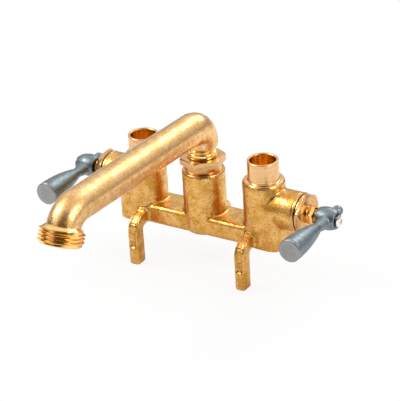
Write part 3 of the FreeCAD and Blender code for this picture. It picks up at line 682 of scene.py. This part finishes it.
@dataclass(frozen=True, kw_only=True)
class CastFinish(Finish):
    """Raw sand-cast brass, with its grain and its pits, a highlight painted along its edges and
    shade painted in its corners.
    """

    # Colour of the pits, and also of the shade painted in the hollow corners.
    pit: Colour
    # Colour of the highlight painted along the convex edges.
    worn: Colour
    rough_spread: float = 0.10
    rough_drop: float = 0.05
    grain: float = 1400.0
    pit_share: float = 0.62
    worn_share: float = 0.55
    deep_share: float = 0.35

    def pattern(self, w: Wiring, groups: Groups) -> tuple[Socket, Socket, Socket]:
        """Mix the patches, the pits, the painted edge highlight and the painted corner shade.

        Args:
            w: The material's wiring.
            groups: The shared effects.

        Returns:
            Sockets of the colour, of the mask of the rougher places, and of the relief.
        """
        place = w.add("TexCoord").outputs["Object"]
        grain = w.add("Group", node_tree=groups.grain)
        w.feed(grain, {"Place": place, "Grain": self.grain})
        edges = w.add("Group", node_tree=groups.edges)
        patches = grain.outputs["Patches"]
        colour = w.blend(patches, self.light, self.dark)
        for mask, share, tint in (
            (grain.outputs["Pits"], self.pit_share, self.pit),
            # Painted highlight along the convex edges.
            (edges.outputs["Worn"], self.worn_share, self.worn),
            # Painted shade in the hollow corners, in the pits' colour.
            (edges.outputs["Deep"], self.deep_share, self.pit),
        ):
            colour = w.blend(w.math("MULTIPLY", mask, share), colour, tint)
        return colour, patches, grain.outputs["Height"]


@dataclass(frozen=True, kw_only=True)
class TurnedFinish(Finish):
    """Metal that a lathe tool has cut, with its fine rings.

    Where it has an inner colour, that shows nearer the turning axis than the inner radius; the
    socket's inner colour is painted shade in its bore.
    """

    roughness: float = 0.2
    rough_spread: float = 0.08
    rough_drop: float = 0.03
    relief: float = 0.008 * MM
    pitch: float = 0.22 * MM
    stain_scale: float = 260.0
    inner: Colour | None = None
    inner_radius: float = 0.0
    inner_edge: float = 0.2 * MM

    def pattern(self, w: Wiring, groups: Groups) -> tuple[Socket, Socket, Socket]:
        """Mix the rings, a faint stain and the inner colour.

        Args:
            w: The material's wiring.
            groups: The shared effects.

        Returns:
            Sockets of the colour, of the mask of the rougher places, and of the relief.
        """
        marks = w.add("Group", node_tree=groups.turning)
        w.feed(marks, {"Pitch": self.pitch})
        tint = w.between(marks.outputs["Tint"], low=0.3, high=0.7)
        place = w.add("TexCoord").outputs["Object"]
        stain = w.add("TexNoise", {"Scale": self.stain_scale, "Detail": 3.0, "Vector": place})
        share = w.math("MULTIPLY", tint, w.between(stain.outputs[0], low=0.3, high=0.7))
        colour = w.blend(share, self.light, self.dark)
        if self.inner:
            store = w.add("Attribute", attribute_name=LATHE)
            radius = w.add("SeparateXYZ", {0: store.outputs["Vector"]}).outputs[1]
            outside = w.between(radius, self.inner_radius - self.inner_edge, self.inner_radius)
            colour = w.blend(outside, self.inner, colour)
        return colour, tint, marks.outputs["Height"]


@dataclass(frozen=True, kw_only=True)
class SatinFinish(Finish):
    """Smooth satin metal, rubber or fibre with a faint unevenness and shade painted in its corners.
    """

    rough_spread: float = 0.07
    rough_drop: float = 0.03
    relief: float = 0.01 * MM
    cloud_scale: float = 420.0
    fine_per_cloud: float = 9.0
    # Share of the shade painted in the hollow corners.
    deep_share: float = 0.4

    def pattern(self, w: Wiring, groups: Groups) -> tuple[Socket, Socket, Socket]:
        """Mix soft clouds and the shade painted in the hollow corners.

        Args:
            w: The material's wiring.
            groups: The shared effects.

        Returns:
            Sockets of the colour, of the mask of the rougher places, and of the relief.
        """
        place = w.add("TexCoord").outputs["Object"]
        cloud = w.add("TexNoise", {"Vector": place, "Scale": self.cloud_scale, "Detail": 5.0})
        fine_scale = self.cloud_scale * self.fine_per_cloud
        fine = w.add("TexNoise", {"Vector": place, "Scale": fine_scale, "Detail": 2.0})
        edges = w.add("Group", node_tree=groups.edges)
        share = w.between(cloud.outputs[0], low=0.35, high=0.65)
        colour = w.blend(share, self.light, self.dark)
        # Painted shade in the hollow corners, in the darker cloud colour.
        corner_shade = w.math("MULTIPLY", edges.outputs["Deep"], self.deep_share)
        return w.blend(corner_shade, colour, self.dark), share, fine.outputs[0]


FINISHES = (
    # In each cast finish below, the lightest colour is a painted edge highlight, and the darkest is
    # shared by the pits and the painted corner shade.
    CastFinish(
        "cast_brass", light=(0.85, 0.49, 0.165), dark=(0.67, 0.345, 0.065),
        pit=(0.30, 0.13, 0.01), worn=(1.0, 0.70, 0.33), roughness=0.24, relief=0.12 * MM,
    ),
    CastFinish(
        "spout_brass", light=(0.93, 0.60, 0.29), dark=(0.78, 0.44, 0.155), grain=2300.0,
        pit=(0.42, 0.21, 0.04), worn=(1.0, 0.78, 0.46), roughness=0.27, relief=0.07 * MM,
    ),
    TurnedFinish("turned_brass", light=(0.74, 0.43, 0.185), dark=(0.57, 0.285, 0.085)),
    TurnedFinish(
        "socket_brass", light=(0.83, 0.51, 0.25), dark=(0.72, 0.41, 0.17), roughness=0.17,
        inner=(0.82, 0.52, 0.16), inner_radius=8.4 * MM,
    ),
    # Inside the bore the colour turns a deeper orange: painted shade in the bore.
    TurnedFinish(
        "threaded_brass", light=(1.0, 0.66, 0.25), dark=(0.88, 0.50, 0.14), roughness=0.14,
    ),
    SatinFinish(
        "handle_metal", light=(0.235, 0.285, 0.305), dark=(0.185, 0.23, 0.25), roughness=0.42,
    ),
    TurnedFinish(
        "handle_end", light=(0.34, 0.345, 0.34), dark=(0.28, 0.285, 0.285), roughness=0.36,
        pitch=0.35 * MM,
    ),
    # Outside the head's face the colour is near black: a painted shadow of the hub's recess round
    # the screw. The chrome shows only on the head.
    TurnedFinish(
        "screw_chrome", light=(0.07, 0.07, 0.07), dark=(0.04, 0.04, 0.04), roughness=0.12,
        inner=(0.86, 0.85, 0.84), inner_radius=4.2 * MM,
    ),
    SatinFinish("clamp_steel", light=(0.50, 0.50, 0.49), dark=(0.36, 0.35, 0.34), roughness=0.38),
    SatinFinish("ring_steel", light=(0.50, 0.50, 0.51), dark=(0.40, 0.40, 0.41), roughness=0.28),
    SatinFinish(
        "rubber_seal", light=(0.035, 0.035, 0.035), dark=(0.02, 0.02, 0.02), roughness=0.62,
        metallic=0.0, relief=0.03 * MM,
    ),
    SatinFinish(
        "fibre", light=(0.16, 0.055, 0.03), dark=(0.10, 0.03, 0.02), roughness=0.72,
        metallic=0.0, relief=0.05 * MM,
    ),
)


def build_finishes() -> Materials:
    """Build every finish once, around one set of shared effects.

    Returns:
        The materials, by the finish's name. A finish that fills a whole slot has its name.
    """
    groups = Groups()
    return {finish.name: finish.build(groups) for finish in FINISHES}


@dataclass
class Casting:
    """The rough cast body with its machined sockets, chamber ends and post top.

    Its sizes are in millimetres, but a size given in MM is in metres.
    """

    voxel: float = 0.64 * MM
    softness: int = 3
    last_softness: int = 2
    lumps: Lumps = Lumps(height=0.12 * MM, fine_height=0.04 * MM)
    cutter_reach: float = 20.0
    cutter_top: float = 60.0
    shoulder: float = 42.4
    skin_top: float = 41.2
    post_radius: float = 13.1
    socket_radius: float = 9.65
    passage_radius: float = 7.4
    middle_top: float = 40.6
    middle_radius: float = 13.35
    middle_bore: float = 10.3
    middle_cutter: float = 30.0
    chamber_end: float = 69.26
    chamber_radius: float = 12.4
    chamber_bore: float = 9.4
    leg_x: float = 38.5
    recess_half: float = 1.7
    recess_start: float = -15.0
    recess_end: float = -11.2
    recess_depth: float = 1.0
    recess_soft: float = 0.9
    recess_facing: float = 0.4

    def build(self, finishes: Materials) -> None:
        """Make the skin and the machined faces.

        Args:
            finishes: The materials, by name.
        """
        body = BODY_OF["body_casting"]
        skin = copy_of("body_casting", "casting_skin")
        for side in Side:
            self.trim_side(skin, side)
        top, wide = self.middle_top - 0.7, self.middle_cutter
        cut(skin, turned_cutter([(wide, self.cutter_top), (wide, top), (1.0, top)], UPRIGHT))
        cast_skin(skin, self.voxel, self.softness, self.lumps)
        self.press_recesses(skin)
        soften(skin, self.last_softness)
        smooth(skin, CAST_ANGLE)
        dress(skin, finishes["cast_brass"], body, ["body_casting"])
        for side in Side:
            dress(self.make_socket(side), finishes["socket_brass"], body)
            dress(self.make_chamber_end(side), finishes["turned_brass"], body)
        dress(self.make_post_top(), finishes["turned_brass"], body)

    def socket_place(self, side: Side) -> Matrix:
        """Place of a socket's axis.

        Args:
            side: The socket's side.

        Returns:
            Matrix that stands a piece on the inlet's axis at the frame's height.
        """
        inlet = MOUNTS[f"{side.word}_inlet"]["pos_m"]
        return standing((inlet[0], inlet[1], 0.0), Axis.UP.value)

    def socket_ledge(self, side: Side) -> float:
        """Height of the ledge that the supply tube stands on.

        Args:
            side: The socket's side.

        Returns:
            The height of the socket bore's lower end, in millimetres.
        """
        inlet = MOUNTS[f"{side.word}_inlet"]
        return inlet["pos_m"][2] / MM - inlet["dims"]["length_mm"] / 2

    def trim_side(self, skin: bpy.types.Object, side: Side) -> None:
        """Cut away what the lathe made on one side, to be modelled by itself.

        Args:
            skin: The copy of the casting.
            side: The side.
        """
        ledge = self.socket_ledge(side)
        cut(skin, turned_cutter([
            (self.cutter_reach, self.cutter_top),
            (self.cutter_reach, self.skin_top),
            (self.passage_radius, self.skin_top),
            (self.passage_radius, ledge),
            (0.5, ledge),
        ], self.socket_place(side), sides=64))
        end = (self.chamber_end - 1.2) * MM
        reach = self.cutter_reach * MM
        middle = VALVE_HEIGHT * MM
        near, far = sorted((side.value * end, side.value * (end + reach)))
        cut(skin, block((near, -reach, -reach + middle), (far, reach, reach + middle)))

    def make_socket(self, side: Side) -> bpy.types.Object:
        """Thin turned socket with its machined shoulder.

        Args:
            side: The socket's side.

        Returns:
            The socket.
        """
        bore = MOUNTS[f"{side.word}_inlet"]["dims"]["r_mm"]
        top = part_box("body_casting")[1].z / MM
        ledge = self.socket_ledge(side)
        wall = self.socket_radius
        start = (bore + 0.5, self.skin_top - 2.0)
        profile = [
            start,
            (self.post_radius - 1.0, self.skin_top - 1.4),
            (self.post_radius - 0.05, self.skin_top + 0.05),
            (self.post_radius - 1.0, self.shoulder - 0.1),
            (wall + 0.45, self.shoulder),
            (wall + 0.1, self.shoulder + 0.25),
            (wall, self.shoulder + 0.7),
            (wall, top - 0.35),
            (wall - 0.3, top),
            (bore + 0.45, top),
            (bore, top - 0.5),
            (bore, ledge - 0.05),
            (bore - 0.4, ledge - 1.4),
            start,
        ]
        return turned(f"{side.word}_socket", profile, self.socket_place(side), edge=0.1, sides=128)

    def make_chamber_end(self, side: Side) -> bpy.types.Object:
        """Machined rim of a valve chamber's end.

        Args:
            side: The chamber's side.

        Returns:
            The rim.
        """
        end = self.chamber_end
        start = (self.chamber_bore, end - 2.6)
        profile = [
            start,
            (self.chamber_radius - 0.9, end - 2.2),
            (self.chamber_radius + 0.02, end - 1.4),
            (self.chamber_radius + 0.02, end - 0.35),
            (self.chamber_radius - 0.3, end),
            (self.chamber_bore, end),
            start,
        ]
        place = standing((0.0, 0.0, VALVE_HEIGHT * MM), Axis[side.name].value)
        return turned(f"{side.word}_chamber_rim", profile, place, edge=0.1)

    def make_post_top(self) -> bpy.types.Object:
        """Machined rim on top of the middle post.

        Returns:
            The rim.
        """
        top = self.middle_top
        start = (self.middle_bore, top - 2.2)
        profile = [
            start,
            (self.middle_radius - 0.9, top - 1.8),
            (self.middle_radius + 0.02, top - 0.75),
            (self.middle_radius - 0.55, top),
            (self.middle_bore, top),
            start,
        ]
        return turned("middle_post_rim", profile, UPRIGHT, edge=0.1)

    def press_recesses(self, skin: bpy.types.Object) -> None:
        """Carry the sunk panel of each leg's front on over its knee.

        Args:
            skin: The casting's mesh.
        """
        soft, outer = self.recess_soft, self.recess_half + self.recess_soft
        for corner in skin.data.vertices:
            x, y, z = (value / MM for value in corner.co)
            off = abs(abs(x) - self.leg_x)
            if off > outer or corner.normal.y - corner.normal.z > -self.recess_facing:
                continue
            share = min((outer - off) / soft, self.recess_start - y,
                        (z - self.recess_end) / soft, 1.0)
            inwards = Vector((0.0, -corner.normal.y, -corner.normal.z)).normalized()
            corner.co += inwards * (self.recess_depth * MM * max(0.0, share))


@dataclass
class Spout:
    """The swing spout: its cast pipe, its turned neck and its hose thread.

    Its sizes are in millimetres, but a size given in MM is in metres.
    """

    voxel: float = 0.6 * MM
    softness: int = 5
    lumps: Lumps = Lumps(height=0.05 * MM, fine_height=0.02 * MM)
    cutter_reach: float = 20.0
    outlet_cut: float = -5.4
    foot: float = 53.4
    nut_top: float = 49.4
    neck_radius: float = 7.9
    neck_bore: float = 4.4
    collar_radius: float = 9.2
    tail_radius: float = 7.95
    tail_step: float = 19.6
    tail_end_radius: float = 7.3
    pipe_radius: float = 10.0
    thread_radius: float = 13.49
    root_radius: float = 12.1
    shoulder_radius: float = 11.2
    bore_radius: float = 9.3
    pitch: float = 2.209
    thread_length: float = 8.6
    ridge_length: float = 9.0
    ridge_lead: float = 1.0
    ridge_steps: int = 72
    ridge_fade: float = 0.35
    ridge_foot: float = 0.98
    ridge_crest: float = 0.26

    def build(self, finishes: Materials) -> None:
        """Make the pipe, the neck and the thread.

        Args:
            finishes: The materials, by name.
        """
        body = BODY_OF["spout"]
        pipe = copy_of("spout", "spout_pipe")
        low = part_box("spout")[0]
        reach, end = self.cutter_reach, self.outlet_cut
        cut(pipe, block((-reach * MM, -reach * MM, low.z - BEYOND),
                        (reach * MM, reach * MM, self.foot * MM)))
        cut(pipe, turned_cutter([(reach, 30.0), (reach, end), (1.0, end)], self.outlet_place()))
        cast_skin(pipe, self.voxel, self.softness, self.lumps)
        smooth(pipe, CAST_ANGLE)
        dress(pipe, finishes["spout_brass"], body, ["spout"])
        dress(self.make_neck(low.z / MM), finishes["threaded_brass"], body)
        dress(self.make_boss(), finishes["threaded_brass"], body)
        dress(self.make_thread(), finishes["threaded_brass"], body)

    def outlet_place(self) -> Matrix:
        """Place of the outlet's axis, at the middle of the thread."""
        mount = MOUNTS["hose_outlet"]
        return standing(mount["pos_m"], mount["axis"])

    def make_neck(self, bottom: float) -> bpy.types.Object:
        """Turned neck, collar and tail that stand in the middle post.

        Args:
            bottom: Height of the tail's lower end, in millimetres.

        Returns:
            The neck.
        """
        top, step = self.nut_top, self.nut_top - self.tail_step
        start = (self.neck_bore, bottom)
        profile = [
            start,
            (self.tail_end_radius - 0.3, bottom),
            (self.tail_end_radius, bottom + 0.3),
            (self.tail_end_radius, step),
            (self.tail_radius, step + 0.3),
            (self.tail_radius, top + 0.2),
            (self.collar_radius - 0.15, top + 0.2),
            (self.collar_radius, top + 0.4),
            (self.collar_radius, top + 2.9),
            (self.collar_radius - 0.5, top + 3.5),
            (self.neck_radius, top + 3.7),
            (self.neck_radius, top + 5.4),
            (self.neck_bore, top + 5.4),
            start,
        ]
        return turned("spout_neck", profile, UPRIGHT)

    def make_boss(self) -> bpy.types.Object:
        """Turned end of the outlet, under the thread and with its bore.

        Returns:
            The boss.
        """
        half = self.thread_length / 2
        start = (self.bore_radius, half)
        profile = [
            start,
            (self.root_radius - 0.3, half),
            (self.root_radius, half - 0.5),
            (self.root_radius, -half - 1.0),
            (self.shoulder_radius, -half - 1.7),
            (self.pipe_radius - 0.3, -half - 2.8),
            (self.bore_radius - 2.0, -half - 2.8),
            (self.bore_radius - 2.0, -half + 0.6),
            (self.bore_radius, -half + 0.6),
            start,
        ]
        return turned("spout_outlet", profile, self.outlet_place(), edge=0.12)

    def make_thread(self) -> bpy.types.Object:
        """Helical hose thread, as a ridge wound round the boss.

        Returns:
            The thread.
        """
        start = -self.thread_length / 2 - self.ridge_lead
        root = self.root_radius - 0.35
        crest = self.thread_radius - 0.02
        corners = [
            (root, -self.ridge_foot), (crest, -self.ridge_crest),
            (crest, self.ridge_crest), (root, self.ridge_foot),
        ]
        least_height, least_width = 0.02, 0.3
        steps = self.ridge_steps
        total = int(self.ridge_length / self.pitch * steps)
        fade_steps = steps * self.ridge_fade
        verts = []
        for step in range(total + 1):
            angle = 2 * math.pi * step / steps
            rise = start + self.pitch * step / steps
            fade = min(1.0, step / fade_steps, (total - step) / fade_steps)
            for radius, offset in corners:
                out = root + (radius - root) * max(fade, least_height)
                verts.append((
                    out * math.cos(angle) * MM,
                    out * math.sin(angle) * MM,
                    (rise + offset * max(fade, least_width)) * MM,
                ))
        count = len(corners)
        faces = [
            (step * count + corner, step * count + (corner + 1) % count,
             (step + 1) * count + (corner + 1) % count, (step + 1) * count + corner)
            for step in range(total)
            for corner in range(count)
        ]
        faces.append(tuple(range(count)))
        faces.append(tuple(total * count + corner for corner in reversed(range(count))))
        mesh = bpy.data.meshes.new("hose_thread")
        mesh.from_pydata(verts, [], faces)
        piece = bpy.data.objects.new("hose_thread", mesh)
        bpy.context.scene.collection.objects.link(piece)
        weld(piece)
        set_place(piece, self.outlet_place())
        mark_lathe(piece, self.outlet_place())
        smooth(piece, degrees=30.0)
        return piece


@dataclass
class Nuts:
    """The hexagon pieces: the spout nut, and each side's bonnet and packing nut."""

    edge: float = 0.22 * MM

    def build(self, finishes: Materials) -> None:
        """Make each nut from its solid with broken edges and turning marks.

        Args:
            finishes: The materials, by name.
        """
        axes = {"spout_nut": UPRIGHT}
        for side in Side:
            axes[f"{side.word}_bonnet"] = axes[f"{side.word}_packing_nut"] = VALVE_AXIS
        for node, axis in axes.items():
            piece = machined(node, f"{node}_face", axis, self.edge)
            finish = finishes["threaded_brass"] if "packing" in node else finishes["turned_brass"]
            dress(piece, finish, BODY_OF[node], [node])


@dataclass
class Handle:
    """One lever handle with its hub, its lever, its end disc and its screw.

    Its sizes are in millimetres, but a size given in MM is in metres.
    """

    side: Side
    voxel: float = 0.36 * MM
    softness: int = 12
    end_cut: float = 1.3
    end_radius: float = 7.2
    cross_depth: float = 1.5
    cross_width: float = 0.95
    cross_reach: float = 2.5
    cross_clear: float = 2.0
    cross_edge: float = 0.12

    def build(self, finishes: Materials) -> None:
        """Make the lever, its end disc and its screw.

        Args:
            finishes: The materials, by name.
        """
        word = self.side.word
        body = BODY_OF[f"{word}_lever_handle"]
        lever = copy_of(f"{word}_lever_handle", f"{word}_lever")
        low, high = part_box(f"{word}_lever_handle")
        front = low.y + self.end_cut * MM
        cut(lever, block((low.x - BEYOND, low.y - BEYOND, low.z - BEYOND),
                         (high.x + BEYOND, front, high.z + BEYOND)))
        cast_skin(lever, self.voxel, self.softness)
        smooth(lever, CAST_ANGLE)
        dress(lever, finishes["handle_metal"], body, [f"{word}_lever_handle"])
        dress(self.make_end(front), finishes["handle_end"], body)
        self.make_screw(finishes, body)

    def make_end(self, front: float) -> bpy.types.Object:
        """Polished disc on the end of the lever, behind a fine groove.

        Args:
            front: Place of the cut along Y, in metres.

        Returns:
            The disc.
        """
        word = self.side.word
        low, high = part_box(f"{word}_lever_handle")
        middle = (low + high) / 2
        length = (front - low.y) / MM
        radius = self.end_radius
        place = standing((middle.x, front, VALVE_HEIGHT * MM), Axis.FRONT.value)
        profile = [
            (3.0, -1.6),
            (radius - 0.9, -1.6),
            (radius - 0.35, -0.5),
            (radius - 0.35, 0.05),
            (radius - 0.02, 0.2),
            (radius - 0.02, length - 0.45),
            (radius - 0.5, length - 0.05),
            (radius * 0.5, length),
        ]
        return turned(f"{word}_lever_end", profile, place, edge=0.08)

    def make_screw(self, finishes: Materials, body: str) -> None:
        """Cut the cross recess into the handle screw's head.

        Args:
            finishes: The materials, by name.
            body: Body that the handle rides on.
        """
        word = self.side.word
        node = f"{word}_handle_screw"
        low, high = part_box(node)
        piece = copy_of(node, f"{word}_cross_screw")
        outwards = self.side.value
        face = high.x if self.side is Side.RIGHT else low.x
        centre = Vector((face, 0.0, VALVE_HEIGHT * MM))
        near, far = sorted((-outwards * self.cross_depth * MM, outwards * self.cross_clear * MM))
        reach, half = self.cross_reach * MM, self.cross_width / 2 * MM
        for wide, tall in ((reach, half), (half, reach)):
            cut(piece, block(centre + Vector((near, -wide, -tall)),
                             centre + Vector((far, wide, tall))))
        bevel(piece, self.cross_edge * MM)
        mark_lathe(piece, VALVE_AXIS)
        smooth(piece)
        dress(piece, finishes["screw_chrome"], body, [node])


@dataclass(frozen=True)
class PhotoCamera:
    """Camera that stands where the photograph was taken from."""

    heading: float = 33.55
    elevation: float = 26.94
    roll: float = -3.51
    distance: float = 1.351
    focal_pixels: float = 2180.0
    centre_x: float = 207.0
    centre_y: float = 226.9
    image_width: float = 400.0
    image_height: float = 401.0

    def build(self) -> Vector:
        """Make the camera and use it.

        Returns:
            Direction from the object to the camera.
        """
        heading, tilt, roll = map(math.radians, (self.heading, self.elevation, self.roll))
        forward = Vector((
            -math.sin(heading) * math.cos(tilt), math.cos(heading) * math.cos(tilt), -math.sin(tilt),
        ))
        level = Vector((math.cos(heading), math.sin(heading), 0.0))
        upright = level.cross(forward)
        right = level * math.cos(roll) + upright * math.sin(roll)
        up = upright * math.cos(roll) - level * math.sin(roll)
        lens = bpy.data.cameras.new("photo_camera")
        lens.lens = self.focal_pixels * lens.sensor_width / self.image_height
        lens.shift_x = -(self.centre_x - self.image_width / 2) / self.image_height
        lens.shift_y = (self.centre_y - self.image_height / 2) / self.image_height
        lens.clip_start = 0.01
        camera = bpy.data.objects.new("photo_camera", lens)
        bpy.context.scene.collection.objects.link(camera)
        turn_to = Matrix((right, up, -forward)).transposed().to_4x4()
        camera.matrix_world = Matrix.Translation(-forward * self.distance) @ turn_to
        bpy.context.scene.camera = camera
        return -forward


@dataclass
class Studio:
    """White floor, soft lamps and the light tent round the object.

    The gaps are dark from their inner to their outer angle, in degrees from their middle.
    The horizon and the roof are heights of a direction's tip on a ball of radius one.
    """

    to_camera: Vector
    floor_size: float = 6.0
    floor_glow: float = 0.88
    floor_colour: Colour = (0.86, 0.86, 0.86)
    floor_roughness: float = 0.8
    tent_light: float = 0.62
    tent_dark: float = 0.14
    shade_colour: Colour = (0.75, 0.50, 0.28)
    tent_top: float = 1.0
    gap_inner: float = 28.0
    gap_outer: float = 45.0
    side_gap: tuple[float, float, float] = (-0.83, -0.46, 0.40)
    side_inner: float = 8.0
    side_outer: float = 27.0
    horizon_low: float = 0.03
    horizon_high: float = 0.15
    horizon_light: float = 0.12
    roof_height: float = 0.6
    lamp_aim: tuple[float, float, float] = (0.0, -0.04, 0.03)

    def build(self) -> None:
        """Make the floor, the lamps and the world."""
        bpy.context.scene.view_settings.view_transform = "Standard"
        self.make_floor()
        self.make_world()
        for name, place, size, power in (
            ("key_lamp", (-0.9, -0.5, 1.1), 0.7, 9.0),
            ("side_lamp", (1.1, -0.1, 0.7), 0.6, 4.5),
            ("back_lamp", (0.1, 1.1, 0.9), 0.7, 4.5),
        ):
            self.make_lamp(name, place, size, power)

    def make_floor(self) -> None:
        """White floor at the height of the leg tips."""
        low = CAD_BOX[0].z
        bpy.ops.object.select_all(action="DESELECT")
        bpy.ops.mesh.primitive_plane_add(size=self.floor_size, location=(0, 0, low))
        floor = bpy.context.active_object
        floor.name = "studio_floor"
        material, w, shader = new_material("studio_floor")
        w.feed(shader, {
            "Base Color": (*self.floor_colour, 1.0), "Roughness": self.floor_roughness,
        })
        white = w.add("Emission", {"Color": (1.0, 1.0, 1.0, 1.0), "Strength": 1.0})
        seen = w.add("LightPath").outputs["Is Camera Ray"]
        share = w.math("MULTIPLY", seen, self.floor_glow)
        mix = w.add("MixShader", {0: share, 1: shader.outputs[0], 2: white.outputs[0]})
        w.feed(w.tree.nodes["Material Output"], {"Surface": mix.outputs[0]})
        floor.data.materials.append(material)

    def make_world(self) -> None:
        """Light tent, dark along its foot, where the photographer stands and to one side."""
        world = bpy.data.worlds.new("light_tent")
        world.use_nodes = True
        bpy.context.scene.world = world
        w = Wiring(world.node_tree)
        direction = w.add("TexCoord").outputs["Generated"]
        gap = 1.0
        for towards, inner, outer in (
            (self.to_camera, self.gap_inner, self.gap_outer),
            (Vector(self.side_gap).normalized(), self.side_inner, self.side_outer),
        ):
            facing = w.add("VectorMath", {0: direction, 1: tuple(towards)},
                           operation="DOT_PRODUCT").outputs["Value"]
            low, high = (math.cos(math.radians(angle)) for angle in (outer, inner))
            gap = w.math("MULTIPLY", w.between(facing, low, high, 1.0, self.tent_dark), gap)
        height = w.add("SeparateXYZ", {0: direction}).outputs[2]
        foot = w.between(height, self.horizon_low, self.horizon_high, self.horizon_light, 1.0)
        roof = w.between(
            height, self.horizon_high, self.roof_height, self.tent_light, self.tent_top
        )
        light = w.math("MULTIPLY", w.math("MULTIPLY", gap, roof), foot)
        seen = w.add("LightPath").outputs["Is Camera Ray"]
        shade = w.math("MAXIMUM", w.math("MULTIPLY", gap, foot), seen)
        w.feed(w.tree.nodes["Background"], {
            "Strength": w.math("MAXIMUM", light, seen),
            "Color": w.blend(shade, self.shade_colour, (1.0, 1.0, 1.0)),
        })

    def make_lamp(self, name: str, place: Sequence[float], size: float, power: float) -> None:
        """Soft square lamp that looks at the object.

        Args:
            name: The lamp's name.
            place: Its place, in metres.
            size: Its width, in metres.
            power: Its power, in watts.
        """
        data = bpy.data.lights.new(name, "AREA")
        data.shape = "SQUARE"
        data.size = size
        data.energy = power
        lamp = bpy.data.objects.new(name, data)
        bpy.context.scene.collection.objects.link(lamp)
        aim = Vector(self.lamp_aim) - Vector(place)
        lamp.matrix_world = (
            Matrix.Translation(Vector(place)) @ aim.to_track_quat("-Z", "Y").to_matrix().to_4x4()
        )


def dress_inner_pieces(finishes: Materials) -> None:
    """Give every CAD node the finish that its slot is named for.

    Args:
        finishes: The materials, by name.
    """
    slots = {row["node"]: row["material_slot"] for row in frame["record"]["subparts"]}
    for name, node in frame["nodes"].items():
        node.data.materials.clear()
        node.data.materials.append(finishes[slots[name]])


def main() -> None:
    """Build the studio and every piece."""
    logging.basicConfig(level=logging.INFO, format="%(name)s: %(message)s")
    to_camera = PhotoCamera().build()
    Studio(to_camera).build()
    finishes = build_finishes()
    dress_inner_pieces(finishes)
    Casting().build(finishes)
    Spout().build(finishes)
    Nuts().build(finishes)
    for side in Side:
        Handle(side).build(finishes)


if __name__ == "__main__":
    main()
